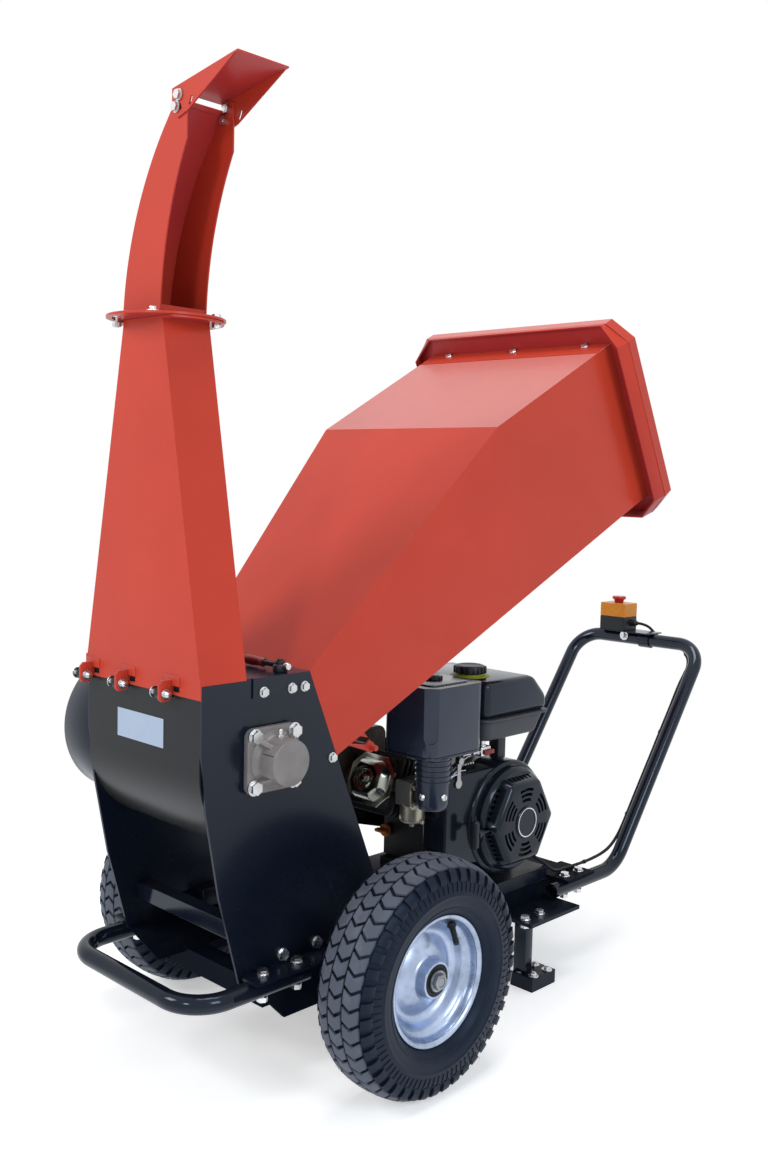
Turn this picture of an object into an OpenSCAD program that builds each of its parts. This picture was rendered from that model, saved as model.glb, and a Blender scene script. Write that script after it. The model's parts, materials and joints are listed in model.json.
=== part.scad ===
// Garden shredder with a petrol engine: two wheels, drum housing, tilting outlet tower, feed hopper.
// Units are millimetres. Origin on the ground, midway between the wheels, below the axle.
// X points to the right wheel, Y points to the engine and the push handle, Z points up.

/* [Wheels] */
// Outside diameter of the tyre
tyre_diameter = 406; // [380:1:430]
// Width of the tyre
tyre_width = 118; // [100:1:126]
// Diameter of the rim seat
rim_diameter = 203; // [190:1:220]
// Distance between the insides of the rim flanges
rim_width = 80; // [70:1:90]
// Distance between the middles of the two tyres
track = 638; // [628:1:680]
// Diameter of the axle
axle_diameter = 25; // [20:1:30]

/* [Frame] */
// Distance between the outsides of the two rails
frame_width = 300; // [290:1:306]
// Width of a rail tube
rail_width = 40; // [30:1:46]
// Height of a rail tube
rail_height = 38; // [30:1:44]
// Rear end of the rails behind the axle
rail_rear = 690; // [680:1:720]
// Diameter of the bumper and handle tubes
tube_diameter = 32; // [28:1:34]
// Front of the bumper tube, middle line, ahead of the axle
bumper_reach = 370; // [365:1:400]
// Half of the distance between the bumper legs and between the handle tubes
tube_half_width = 178; // [176:1:184]
// Front edge of the support leg behind the axle
leg_front = 447; // [440:1:470]

/* [Drum housing] */
// Front face of the housing ahead of the axle
housing_front = 346; // [340:1:350]
// Radius of the drum shell
shell_radius = 152; // [148:1:156]
// Height of the rotor axis
rotor_height = 579; // [574:1:586]
// Distance of the rotor axis ahead of the middle of the drum shell
rotor_ahead = 15; // [8:1:18]
// Distance of the rotor axis above the middle of the drum shell
rotor_above = 9; // [4:1:11]
// Height of the top edge of the side plates above the rotor axis
plate_top = 131; // [128:1:140]
// Thickness of the side plates
plate_thickness = 5; // [4:0.5:6]
// Thickness of the sheet metal
sheet = 2.5; // [2:0.1:3]
// Diameter of the rotor shaft
shaft_diameter = 45; // [40:1:48]
// Radius of the rotor drum
drum_radius = 100; // [92:1:104]
// Radius reached by the knives
knife_radius = 121; // [118:1:122]
// Side of the square bearing flange
bearing_flange = 108; // [104:1:114]
// Thickness of the bearing flange
bearing_base = 12; // [10:1:15]
// Diameter of the bearing boss
bearing_boss = 77; // [74:1:82]
// Distance of the bearing cap's face from the side plate
bearing_cap = 57; // [48:1:62]

/* [Tower and outlet] */
// Depth of the outlet tower from front to back
tower_depth = 91; // [86:1:96]
// Half of the tower width at its top
tower_top_half = 54; // [50:1:56]
// Height of the tower top
tower_top = 1278; // [1260:1:1290]
// Radius of the turning flange of the outlet
flange_radius = 96; // [94:1:99]
// Radius of the curved back of the outlet
outlet_radius = 502; // [496:1:510]
// Height of the outlet above the turning flange
outlet_rise = 328; // [322:1:332]

/* [Hopper] */
// Half of the hopper width at the mouth
mouth_half = 243; // [230:1:250]
// Half of the hopper width at the bend line
bend_half = 232; // [225:1:236]
// Distance of the bend line behind the axle
bend_back = 268; // [260:1:275]
// Height of the bend line
bend_height = 1136; // [1125:1:1145]
// Length of the upper hopper part from bend line to mouth
mouth_reach = 390; // [370:1:400]
// Height of the mouth
mouth_height = 347; // [340:1:352]
// Slope of the upper hopper part in degrees
hopper_slope = 28.4; // [28:0.1:29]
// Overhang of the lip around the mouth
lip_overhang = 43; // [30:1:48]
// Depth of the lip rim
lip_depth = 25; // [20:1:30]

/* [Engine] */
// Distance of the crankshaft behind the axle
crank_back = 450; // [446:1:456]
// Height of the crankshaft above the engine deck
crank_rise = 132; // [128:1:136]
// Position of the recoil cover face to the right of the middle
recoil_face = 192; // [188:1:196]
// Radius of the recoil cover
recoil_radius = 107; // [102:1:110]
// Tilt of the cylinder above the horizontal in degrees
cylinder_tilt = 20; // [18:1:22]
// Pitch radius of the belt on the engine pulley
crank_pitch_radius = 45; // [42:1:48]
// Pitch radius of the belt on the rotor pulley
rotor_pitch_radius = 105; // [102:1:108]

/* [Handle] */
// Corner of the handle tubes behind the axle
handle_corner = 802; // [790:1:815]
// Length of the sloping handle tubes from the corner to the top bar
handle_length = 590; // [570:5:605]

/* [Fits] */
// Radial clearance of parts that turn on a shaft
turn_gap = 0.05; // [0.02:0.01:0.1]
// Gap between parts that move past each other
move_gap = 0.4; // [0.3:0.1:0.6]
// Radial clearance of a bolt in its hole
bolt_gap = 0.2; // [0.1:0.1:0.4]

/* [Hidden] */
$fn = 72;

black = "#1c1d20";
red = "#c8473a";
zinc = "#c9ccd0";
grey = "#8a8683";

axle_height = tyre_diameter / 2;
wheel_x = track / 2;
half_in = frame_width / 2;
bracket_thickness = 7;
plate_in = half_in + bracket_thickness;
plate_out = plate_in + plate_thickness;
rail_top = axle_height - axle_diameter / 2 - 2.5;
rail_low = rail_top - rail_height;
rail_front = -205;
rail_wall = 3;
tube_wall = 2.5;
plate_low = axle_height + 10;
housing_top = rotor_height + plate_top;
plate_top_back = -122;
plate_low_back = 92;
shell_y = shell_radius - housing_front;
shell_z = rotor_height - rotor_above;
rotor_y = shell_y - rotor_ahead;
flange_low = plate_low + 6;
foot_thickness = 5;
foot_out = tube_half_width + 27;
foot_front = -262;
foot_back = -70;
bumper_z = flange_low - tube_diameter / 2;
handle_plate = 6;
handle_z = rail_top - tube_diameter / 2;
deck_thickness = 6;
deck_rise = 28;
deck_top = rail_top + deck_rise;
deck_front = 240;
deck_rear = 585;
crank_z = deck_top + crank_rise;
leg_thickness = 8;

bearing_bolt_pitch = bearing_flange / 2 - 12.5;
bumper_bolt_spots = [-229, -155];
bumper_end = -135;
tube_clearance = 2;
plate_bolt_spots = [-174, -97];
plate_bolt_z = 238;
handle_bolt_spots = [612, 662];
leg_bolt_spots = [441, 489];
leg_bolt_x = 205;
cover_bolt_spots = [-226, -166, -138];
cover_bolt_z = housing_top - 21;
stay_bolt = [-68, shell_z - 13];

hinge_y = -housing_front - 16;
hinge_z = housing_top - 20;
hinge_pin = 8;
hinge_spots = [-146, -38, 84];

tower_seat = housing_top + 0.3;
tower_front = -housing_front - 0.8 - sheet;
tower_back = tower_front + tower_depth;
tower_mid = (tower_front + tower_back) / 2;
skirt_low = housing_top - 22;
disc = 4;
chute_low = tower_top + disc + move_gap;
chute_base = chute_low + disc;
chute_top = chute_base + outlet_rise;
chute_edge = 112;
outlet_middle = [445, 1253 + tower_top - 1278];
open_middle = [610, 1275 + tower_top - 1278];
open_radius = 564;
swivel_radius = flange_radius - 14;
swivel_angles = [40, 220];
swivel_half_range = 55;
pivot = [97, chute_top - 8];
clamp_radius = 18;
clamp_angle = 248;

slope_dir = [cos(hopper_slope), sin(hopper_slope)];
mouth_top = [bend_back, bend_height] + mouth_reach * slope_dir;
mouth_low = mouth_top + mouth_height * [slope_dir[1], -slope_dir[0]];
curtain_top = mouth_top - 34 * slope_dir + 5 * [slope_dir[1], -slope_dir[0]];
curtain_length = 245;
feed_top_z = housing_top + 3;
feed_low_z = shell_z - 12;
feed_half = plate_out;

recoil_back = recoil_face - 42;
case_right = 78;
case_left = -107;
cylinder_x = -8;
pulley_in = -plate_out - 33;
pulley_out = pulley_in - 38;
pulley_grooves = [pulley_in - 10, pulley_in - 28];
belt_width = 12.4;
belt_thickness = 10;
tangent_inset = 0.05;
guard_out = pulley_out - 17;
tank_front = 345;
tank_rear = 556;
tank_right = 165;
tank_left = -75;
tank_low = crank_z + 167;
tank_seam = crank_z + 212;
tank_top = crank_z + 292;
cap_spot = [79, 393];
grip_spot = [recoil_face - 20, crank_z - 4];
lever_spot = [292, crank_z + 96];
shroud_right = 140;
dip_spot = [-91, crank_z - 58];
latch_spot = [138, -168];

handle_angle = atan2(4, 3);
handle_reach = handle_corner + 0.6 * handle_length;
handle_height = handle_z + 0.8 * handle_length;
handle_bend = 90;
handle_top_bend = 65;
bumper_bend = 70;
estop_left = -102;
estop_right = -27;
estop_front = handle_reach - 30;
estop_back = handle_reach + 30;
estop_low = handle_height + tube_diameter / 2 + 3;
estop_split = estop_low + 34;
estop_top = estop_split + 34;
cable_radius = 3.5;

// Rear edge of the side plates at a given height.
function back_y(z) = plate_top_back
    + (housing_top - z) * (plate_low_back - plate_top_back) / (housing_top - plate_low);
function unit(v) = v / norm(v);
function belt_turn() = atan2(crank_z - rotor_height, crank_back - rotor_y);
function belt_length() = norm([crank_z - rotor_height, crank_back - rotor_y]);
function arc_point(centre, r, a) = centre + r * [cos(a), sin(a)];

module box(x0, x1, y0, y1, z0, z1) {
    translate([x0, y0, z0]) cube([x1 - x0, y1 - y0, z1 - z0]);
}
module along_x(x0, x1) {
    translate([x0, 0, 0]) rotate([90, 0, 90]) linear_extrude(x1 - x0) children();
}
module along_y(y0, y1) {
    translate([0, y1, 0]) rotate([90, 0, 0]) linear_extrude(y1 - y0) children();
}
module along_z(z0, z1) {
    translate([0, 0, z0]) linear_extrude(z1 - z0) children();
}
module side_of(s) {
    mirror([s < 0 ? 1 : 0, 0, 0]) children();
}
module rounded(w, h, r) {
    square([w - 2 * r, h], center = true);
    square([w, h - 2 * r], center = true);
    for (x = [-1, 1], y = [-1, 1]) {
        translate([x * (w / 2 - r), y * (h / 2 - r)]) circle(r = r);
    }
}
module chamfered(w, h, c) {
    polygon([
        [-w / 2 + c, -h / 2], [w / 2 - c, -h / 2], [w / 2, -h / 2 + c], [w / 2, h / 2 - c],
        [w / 2 - c, h / 2], [-w / 2 + c, h / 2], [-w / 2, h / 2 - c], [-w / 2, -h / 2 + c]]);
}
module tube_ring() {
    difference() {
        circle(d = tube_diameter);
        circle(d = tube_diameter - 2 * tube_wall);
    }
}
// Hexagon bolt with washer: head above z = 0, shank below, nut under the grip when asked for.
module bolt(d, grip, nut = false) {
    cylinder(d = 2.2 * d, h = 0.2 * d);
    cylinder(d = 1.85 * d, h = 0.85 * d, $fn = 6);
    translate([0, 0, -grip - (nut ? 0.9 * d : 0)]) cylinder(d = d, h = grip + (nut ? 0.9 * d : 0) + 1);
    if (nut) {
        translate([0, 0, -grip - 0.8 * d]) cylinder(d = 1.85 * d, h = 0.8 * d, $fn = 6);
    }
}
module bolt_x(s, x, y, z, d, grip, nut = false) {
    side_of(s) translate([x, y, z]) rotate([0, 90, 0]) bolt(d, grip, nut);
}
module hole_x(x0, x1, y, z, d) {
    translate([x0, y, z]) rotate([0, 90, 0]) cylinder(d = d, h = x1 - x0);
}
module hole_z(x, y, z0, z1, d) {
    translate([x, y, z0]) cylinder(d = d, h = z1 - z0);
}
// Outline of a belt run: a circle at the rotor and a circle at the crankshaft with their outer tangents.
module belt_outline(r1, r2) {
    a = acos((r1 - r2) / belt_length());
    t = belt_turn();
    c1 = [rotor_y, rotor_height];
    c2 = [crank_back, crank_z];
    translate(c1) circle(r = r1);
    translate(c2) circle(r = r2);
    q1 = r1 - tangent_inset;
    q2 = r2 - tangent_inset;
    polygon([
        arc_point(c1, q1, t + a), arc_point(c2, q2, t + a),
        arc_point(c2, q2, t - a), arc_point(c1, q1, t - a)]);
}

module chassis() color(black) {
    difference() {
        union() {
            for (s = [-1, 1]) side_of(s) {
                box(half_in - rail_width, half_in, rail_front, rail_rear, rail_low, rail_top);
                along_x(half_in, plate_in) polygon([
                    [rail_front - 2, 250], [rail_front - 2, rail_low + 18], [-162, rail_low - 28],
                    [95, rail_low - 28], [130, rail_low + 10], [130, rail_top], [60, 250]]);
                box(half_in - rail_width + 2, foot_out - 4, 592, rail_rear, rail_top,
                    rail_top + handle_plate);
            }
            box(rail_width - half_in, half_in - rail_width, rail_front, rail_front + 40, rail_low, rail_top);
            box(rail_width - half_in, half_in - rail_width, rail_rear - 40, rail_rear, rail_low, rail_top);
        }
        for (s = [-1, 1]) side_of(s) {
            box(half_in - rail_width + rail_wall, half_in - rail_wall, rail_front - 1, rail_rear + 1,
                rail_low + rail_wall, rail_top - rail_wall);
            hole_x(half_in - 1, plate_in + 1, 0, axle_height, axle_diameter + 2 * turn_gap);
            for (y = plate_bolt_spots) {
                hole_x(half_in - 1, plate_in + 1, y, plate_bolt_z, 10 + 2 * bolt_gap);
            }
            for (y = handle_bolt_spots) {
                hole_z(tube_half_width, y, rail_top - 1, rail_top + handle_plate + 1, 10 + 2 * bolt_gap);
            }
            translate([tube_half_width, rail_front - 10, bumper_z]) rotate([-90, 0, 0])
                cylinder(d = tube_diameter + 2 * tube_clearance, h = bumper_end + tube_clearance - rail_front + 10);
            for (y = bumper_bolt_spots) {
                hole_z(tube_half_width, y, bumper_z - tube_diameter, bumper_z + tube_diameter,
                    22 + 2 * tube_clearance);
            }
        }
        for (y = [rail_front, rail_rear - 40]) {
            box(rail_width - half_in + 4, half_in - rail_width - 4, y + 4, y + 36,
                rail_low - 1, rail_top - 4);
        }
    }
}

module axle() color(zinc) {
    end = wheel_x + 50;
    hole_x(-end, end, 0, axle_height, axle_diameter);
    for (s = [-1, 1]) side_of(s) {
        hole_x(wheel_x - 43, wheel_x - 35 - move_gap, 0, axle_height, axle_diameter + 14);
    }
}

module axle_nuts() color(zinc) {
    for (s = [-1, 1]) side_of(s) difference() {
        union() {
            hole_x(wheel_x + 38 + move_gap, wheel_x + 41, 0, axle_height, axle_diameter + 12);
            translate([wheel_x + 41, 0, axle_height]) rotate([0, 90, 0])
                cylinder(d = axle_diameter + 11, h = 8, $fn = 6);
        }
        hole_x(wheel_x, wheel_x + 60, 0, axle_height, axle_diameter);
    }
}

module front_bumper() color(black) {
    y0 = -bumper_reach + bumper_bend;
    difference() {
        union() {
            for (s = [-1, 1]) side_of(s) {
                translate([tube_half_width, y0, bumper_z]) rotate([-90, 0, 0])
                    linear_extrude(bumper_end - y0) tube_ring();
                translate([tube_half_width - bumper_bend, y0, bumper_z]) rotate([0, 0, -90])
                    rotate_extrude(angle = 90) translate([bumper_bend, 0]) tube_ring();
            }
            translate([bumper_bend - tube_half_width, -bumper_reach, bumper_z]) rotate([0, 90, 0])
                linear_extrude(2 * (tube_half_width - bumper_bend)) tube_ring();
        }
        for (x = [-tube_half_width, tube_half_width], y = bumper_bolt_spots) {
            hole_z(x, y, bumper_z - 30, bumper_z + 30, 10 + 2 * bolt_gap);
        }
    }
}

module leg(s) color(black) side_of(s) {
    difference() {
        union() {
            box(half_in - rail_width + 2, foot_out + 27, leg_front - 20, leg_front + 146,
                rail_low - leg_thickness, rail_low);
            box(170, 222, leg_front + 8, leg_front + 34, 27, rail_low - leg_thickness);
            box(168, 224, leg_front, leg_front + 78, 0, 28);
        }
        box(175, 217, leg_front + 13, leg_front + 35, 28, rail_low - leg_thickness);
        for (y = leg_bolt_spots) {
            hole_z(leg_bolt_x, y, rail_low - leg_thickness - 1, rail_low + 1, 10 + 2 * bolt_gap);
        }
    }
}
module leg_left() leg(-1);
module leg_right() leg(1);

module engine_deck() color(black) {
    box(-half_in, half_in, deck_front, deck_rear, deck_top - deck_thickness, deck_top);
    for (s = [-1, 1]) side_of(s) {
        box(half_in - 6, half_in, deck_front, deck_rear, rail_top, deck_top - deck_thickness);
    }
}

// Solid bar along the middle line of the handle; extra lengthens its two free ends.
module handle_bar(d, extra) {
    a = handle_angle;
    setback = 0.5 * handle_bend;
    y0 = 565 - extra;
    y1 = handle_corner - setback;
    ys = y1 + 0.8 * handle_bend;
    zs = handle_z + 0.4 * handle_bend;
    run = handle_length - setback - handle_top_bend;
    x1 = tube_half_width - handle_top_bend;
    for (s = [-1, 1]) side_of(s) {
        translate([tube_half_width, y0, handle_z]) rotate([-90, 0, 0]) cylinder(d = d, h = y1 - y0);
        translate([tube_half_width, y1, handle_z + handle_bend]) rotate([90, 0, 90])
            rotate([0, 0, -90]) rotate_extrude(angle = a) translate([handle_bend, 0]) circle(d = d);
        translate([tube_half_width, ys, zs]) rotate([a - 90, 0, 0]) cylinder(d = d, h = run);
        translate([x1, ys + 0.6 * run, zs + 0.8 * run]) rotate([a - 90, 0, 0])
            rotate([90, 0, 0]) rotate_extrude(angle = 90) translate([handle_top_bend, 0]) circle(d = d);
    }
    translate([-x1, handle_reach, handle_height]) rotate([0, 90, 0]) cylinder(d = d, h = 2 * x1);
}

module push_handle() color(black) {
    difference() {
        handle_bar(tube_diameter, 0);
        handle_bar(tube_diameter - 2 * tube_wall, 5);
        for (x = [-tube_half_width, tube_half_width], y = handle_bolt_spots) {
            hole_z(x, y, handle_z - 30, handle_z + 30, 10 + 2 * bolt_gap);
        }
    }
}

module estop_bracket() color(black) {
    r = tube_diameter / 2;
    box(estop_left, 46, estop_front, estop_back, estop_low - 3, estop_low);
    difference() {
        hole_x(6, 36, handle_reach, handle_height, tube_diameter + 8);
        hole_x(5, 37, handle_reach, handle_height, tube_diameter + 2 * turn_gap);
        box(5, 37, handle_reach - r - 5, handle_reach + r + 5, estop_low, estop_low + 10);
    }
}

module estop_base() color(black) {
    w = estop_right - estop_left;
    translate([(estop_left + estop_right) / 2, handle_reach, 0]) along_z(estop_low, estop_split)
        rounded(w, estop_back - estop_front, 5);
}

module estop_lid() color("#d9952e") {
    w = estop_right - estop_left;
    difference() {
        translate([(estop_left + estop_right) / 2, handle_reach, 0]) along_z(estop_split, estop_top)
            rounded(w, estop_back - estop_front, 5);
        hole_z((estop_left + estop_right) / 2, handle_reach, estop_top - 20, estop_top + 1,
            18 + 2 * move_gap);
    }
}

module estop_button() color("#c02a22") {
    translate([(estop_left + estop_right) / 2, handle_reach, estop_top]) rotate_extrude()
        polygon([[0, -10], [9, -10], [9, 8], [12, 9], [20, 15], [20, 19], [16, 22], [0, 23]]);
}

// Cable from the stop switch along the handle to the engine, given as points of its middle line.
cable_path = [
    [-25.4, 1160, 682], [-12, 1164, 682], [0, 1174, 679], [9, 1186, 672], [18, 1192, 662], [32, 1192, 652],
    [52, 1186, 644], [74, 1179, 639], [96, 1177, 634], [114, 1174, 628], [130, 1164, 618], [144, 1150, 606],
    [153, 1132, 592], [158, 1112, 580], [158.2, 1090, 557], [158.2, 1050, 503], [158.2, 1010, 450],
    [158.2, 970, 396], [158.2, 930, 343], [158.2, 900, 303], [158.2, 880, 276], [158.2, 860, 250],
    [158.2, 838, 228], [158.2, 812, 212], [158.2, 784, 204], [158, 750, 200], [157, 715, 198],
    [156, 680, 198], [154, 640, 198], [153, 612, 200], [150, 597, 208], [142, 587, 219],
    [128, 576, 230], [108, 567, 240], [84, 559.6, 248], [62, 558.8, 250]];
cable_ref = [0, 0.8, -0.6];
function cable_dir(i) = unit(cable_path[min(i + 1, len(cable_path) - 1)] - cable_path[max(i - 1, 0)]);
function cable_ring(i) =
    let (t = cable_dir(i), n = unit(cross(t, cable_ref)), b = cross(t, n))
    [for (k = [0:7]) cable_path[i] + cable_radius * (cos(45 * k) * n + sin(45 * k) * b)];
module estop_cable() color(black) {
    last = len(cable_path) - 1;
    polyhedron(
        points = [for (i = [0:last]) each cable_ring(i)],
        faces = concat(
            [[for (k = [0:7]) k]],
            [for (i = [0:last - 1], k = [0:7])
                [8 * i + k, 8 * i + 8 + k, 8 * i + 8 + (k + 1) % 8, 8 * i + (k + 1) % 8]],
            [[for (k = [7:-1:0]) 8 * last + k]]));
}

module side_plate(s) color(black) side_of(s) {
    difference() {
        union() {
            along_x(plate_in, plate_out) polygon([
                [-housing_front, housing_top], [-housing_front, shell_z + 30],
                [-housing_front + 10, shell_z - 62], [-housing_front + 38, plate_low + 152],
                [-housing_front + 81, plate_low], [plate_low_back, plate_low], [plate_top_back, housing_top]]);
            box(plate_out, foot_out, foot_front, foot_back, flange_low, flange_low + foot_thickness);
        }
        hole_x(plate_in - 1, plate_out + 1, rotor_y, rotor_height, shaft_diameter + 25);
        for (y = [-1, 1], z = [-1, 1]) {
            hole_x(plate_in - 1, plate_out + 1, rotor_y + y * bearing_bolt_pitch,
                rotor_height + z * bearing_bolt_pitch, 12 + 2 * bolt_gap);
        }
        for (y = plate_bolt_spots) {
            hole_x(plate_in - 1, plate_out + 1, y, plate_bolt_z, 10 + 2 * bolt_gap);
        }
        if (s > 0) for (y = cover_bolt_spots) {
            hole_x(plate_in - 1, plate_out + 1, y, cover_bolt_z, 8 + 2 * bolt_gap);
        }
        hole_x(plate_in - 1, plate_out + 1, stay_bolt[0], stay_bolt[1], 8 + 2 * bolt_gap);
        hole_x(plate_in - 1, plate_out + 1, 0, axle_height, axle_diameter + 2 * turn_gap);
        for (y = bumper_bolt_spots) {
            hole_z(tube_half_width, y, flange_low - 1, flange_low + 10, 10 + 2 * bolt_gap);
        }
    }
}
module side_plate_left() side_plate(-1);
module side_plate_right() side_plate(1);

module drum_shell() color("#2b2c2c") {
    t = 3;
    along_x(-plate_in, plate_in) {
        translate([-housing_front, shell_z]) square([t, housing_top - shell_z - 2]);
        translate([shell_y, shell_z]) difference() {
            circle(r = shell_radius);
            circle(r = shell_radius - t);
            translate([-200, 0]) square([400, 200]);
            polygon([[0, 0], [400, 400 * tan(-20)], [400, 1], [0, 1]]);
        }
        translate([shell_y + shell_radius * cos(20) - t, shell_z - shell_radius * sin(20) - 2])
            square([t, 24]);
    }
    for (x = hinge_spots) along_x(x - 12.5, x - 0.5) difference() {
        union() {
            translate([hinge_y, hinge_z]) circle(r = 10);
            translate([hinge_y, hinge_z - 8]) square([-housing_front - hinge_y, 16]);
        }
        translate([hinge_y, hinge_z]) circle(d = hinge_pin + 2 * bolt_gap);
    }
}

module cross_bar() color(black) {
    box(-plate_in, plate_in, -247, -243, 266, 296);
    box(-plate_in, plate_in, -243, -217, 292, 296);
}

module top_cover() color(black) {
    difference() {
        union() {
            box(-plate_out, plate_out, tower_back + 1, back_y(housing_top + 3), housing_top,
                housing_top + 3);
            box(plate_out, plate_out + 3, -247, -126, housing_top - 30, housing_top + 3);
        }
        for (y = cover_bolt_spots) {
            hole_x(plate_out - 1, plate_out + 4, y, cover_bolt_z, 8 + 2 * bolt_gap);
        }
    }
    hole_z(latch_spot[0], latch_spot[1], housing_top + 2, housing_top + 24, 10);
}

module nameplate() color("#b9c3cd") {
    box(-69, 62, -housing_front - 1, -housing_front, shell_z + 26, shell_z + 74);
}

module counter_knife() color(zinc) {
    y1 = shell_y + shell_radius * cos(20);
    box(-plate_in, plate_in, rotor_y + knife_radius + 2, y1,
        shell_z - shell_radius * sin(20) + 22, feed_low_z - 2);
}

module rotor_drum() color(grey) {
    difference() {
        union() {
            hole_x(pulley_out - 3, plate_out + 24, rotor_y, rotor_height, shaft_diameter);
            hole_x(-plate_in + 7, plate_in - 7, rotor_y, rotor_height, 2 * drum_radius);
        }
        for (s = [-1, 1]) translate([0, rotor_y, rotor_height]) {
            rotate([0, 0, s < 0 ? 180 : 0]) box(-plate_in, plate_in, 80, drum_radius + 5, -5.1, 5.1);
            side_of(s) along_x(12, plate_in) difference() {
                circle(r = 72);
                circle(r = 34);
            }
        }
    }
}

module rotor_knives() color(zinc) {
    for (s = [-1, 1]) translate([0, rotor_y, rotor_height]) rotate([0, 0, s < 0 ? 180 : 0])
        along_x(-plate_in + 8, plate_in - 8)
            polygon([
                [80, -5], [knife_radius - 1, -5], [knife_radius - 1, -3], [knife_radius - 9, 5], [80, 5]]);
}

module bearing(s) color(grey) side_of(s) {
    difference() {
        union() {
            translate([0, rotor_y, rotor_height]) along_x(plate_out, plate_out + bearing_base)
                rounded(bearing_flange, bearing_flange, 13);
            hole_x(plate_out, plate_out + 30, rotor_y, rotor_height, bearing_boss);
            for (a = [45:90:315]) translate([0, rotor_y, rotor_height]) rotate([a, 0, 0])
                box(plate_out + bearing_base - 1, plate_out + bearing_base + 9, bearing_boss / 2 - 4,
                    bearing_boss / 2 + 6, -6, 6);
            if (s > 0) {
                hole_x(plate_out + 29, plate_out + bearing_cap - 2, rotor_y, rotor_height, bearing_boss);
                translate([plate_out + bearing_cap - 2, rotor_y, rotor_height]) rotate([0, 90, 0])
                    cylinder(d1 = bearing_boss, d2 = bearing_boss - 4, h = 2);
            }
        }
        hole_x(plate_out - 1, plate_out + (s > 0 ? 27 : 50), rotor_y, rotor_height,
            shaft_diameter + 2 * turn_gap);
        for (y = [-1, 1], z = [-1, 1]) {
            hole_x(plate_out - 1, plate_out + bearing_base + 1, rotor_y + y * bearing_bolt_pitch,
                rotor_height + z * bearing_bolt_pitch, 12 + 2 * bolt_gap);
            hole_x(plate_out + bearing_base, plate_out + 40, rotor_y + y * bearing_bolt_pitch,
                rotor_height + z * bearing_bolt_pitch, 28);
        }
    }
}
module bearing_left() bearing(-1);
module bearing_right() bearing(1);

module rotor_pulley() color(grey) {
    groove = rotor_pitch_radius - belt_thickness / 2 - 0.3;
    difference() {
        hole_x(pulley_out, pulley_in, rotor_y, rotor_height, 2 * rotor_pitch_radius + 14);
        hole_x(pulley_out - 1, pulley_in + 1, rotor_y, rotor_height, shaft_diameter + 0.04);
        for (x = pulley_grooves) translate([0, rotor_y, rotor_height])
            along_x(x - 6.6, x + 6.6) difference() {
            circle(r = rotor_pitch_radius + 20);
            circle(r = groove);
        }
    }
}

module crank_pulley() color(grey) {
    groove = crank_pitch_radius - belt_thickness / 2 - 0.3;
    difference() {
        union() {
            hole_x(pulley_out - 3, case_left + 24, crank_back, crank_z, 25);
            hole_x(pulley_out, pulley_in, crank_back, crank_z, 2 * crank_pitch_radius + 14);
        }
        for (x = pulley_grooves) translate([0, crank_back, crank_z]) along_x(x - 6.6, x + 6.6) difference() {
            circle(r = crank_pitch_radius + 20);
            circle(r = groove);
        }
    }
}

module drive_belts() color("#222222") {
    h = belt_thickness / 2;
    for (x = pulley_grooves) along_x(x - belt_width / 2, x + belt_width / 2) difference() {
        belt_outline(rotor_pitch_radius + h, crank_pitch_radius + h);
        belt_outline(rotor_pitch_radius - h, crank_pitch_radius - h);
    }
}

module belt_guard() color(black) {
    difference() {
        along_x(guard_out, -plate_out) belt_outline(rotor_pitch_radius + 27, crank_pitch_radius + 47);
        along_x(guard_out + sheet, -plate_out + 1)
            belt_outline(rotor_pitch_radius + 27 - sheet, crank_pitch_radius + 47 - sheet);
        box(-plate_out - 14, -plate_out + 1, -112, 90, shell_z + 20, shell_z + 190);
    }
}

// Closed body through ten corners: five on each side, given as half width and profile point.
module hopper_solid(p, w) {
    right = [for (i = [0:4]) [w[i], p[i][0], p[i][1]]];
    left = [for (i = [0:4]) [-w[i], p[i][0], p[i][1]]];
    polyhedron(
        points = concat(right, left),
        faces = [
            [0, 5, 6, 1], [1, 6, 7, 2], [2, 7, 8, 3], [3, 8, 9, 4], [4, 9, 5, 0],
            [0, 1, 4], [1, 3, 4], [1, 2, 3], [5, 9, 6], [6, 9, 8], [6, 8, 7]]);
}

module hopper_body() color(red) {
    f0 = [back_y(feed_top_z), feed_top_z];
    f4 = [back_y(feed_low_z), feed_low_z];
    b = [bend_back, bend_height];
    front = unit(b - f0);
    floor_dir = unit(mouth_low - f4);
    t = sheet;
    outer = [f0, b, mouth_top, mouth_low, f4];
    inner = [
        f0 + t * [front[1], -front[0]] - 5 * front,
        b + t * [0.65, -0.8],
        mouth_top + t * [slope_dir[1], -slope_dir[0]] + 5 * slope_dir,
        mouth_low - t * [floor_dir[1], -floor_dir[0]] + 5 * slope_dir,
        f4 - t * [floor_dir[1], -floor_dir[0]] - 5 * floor_dir];
    difference() {
        hopper_solid(outer, [feed_half, bend_half, mouth_half, mouth_half, feed_half]);
        hopper_solid(inner, [feed_half - t - 0.4, bend_half - t, mouth_half - t + 0.1, mouth_half - t + 0.1,
            feed_half - t - 0.4]);
        in_mouth() for (x = [-185, 0, 185]) hole_y_local(x, -12, 8 + 2 * bolt_gap);
    }
}

// Local frame of the mouth: x across, y down along the mouth, z outwards.
module in_mouth() {
    translate([0, mouth_top[0], mouth_top[1]]) rotate([hopper_slope - 90, 0, 0]) children();
}
module hole_y_local(x, w, d) {
    translate([x, -10, w]) rotate([-90, 0, 0]) cylinder(d = d, h = 30);
}

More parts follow.
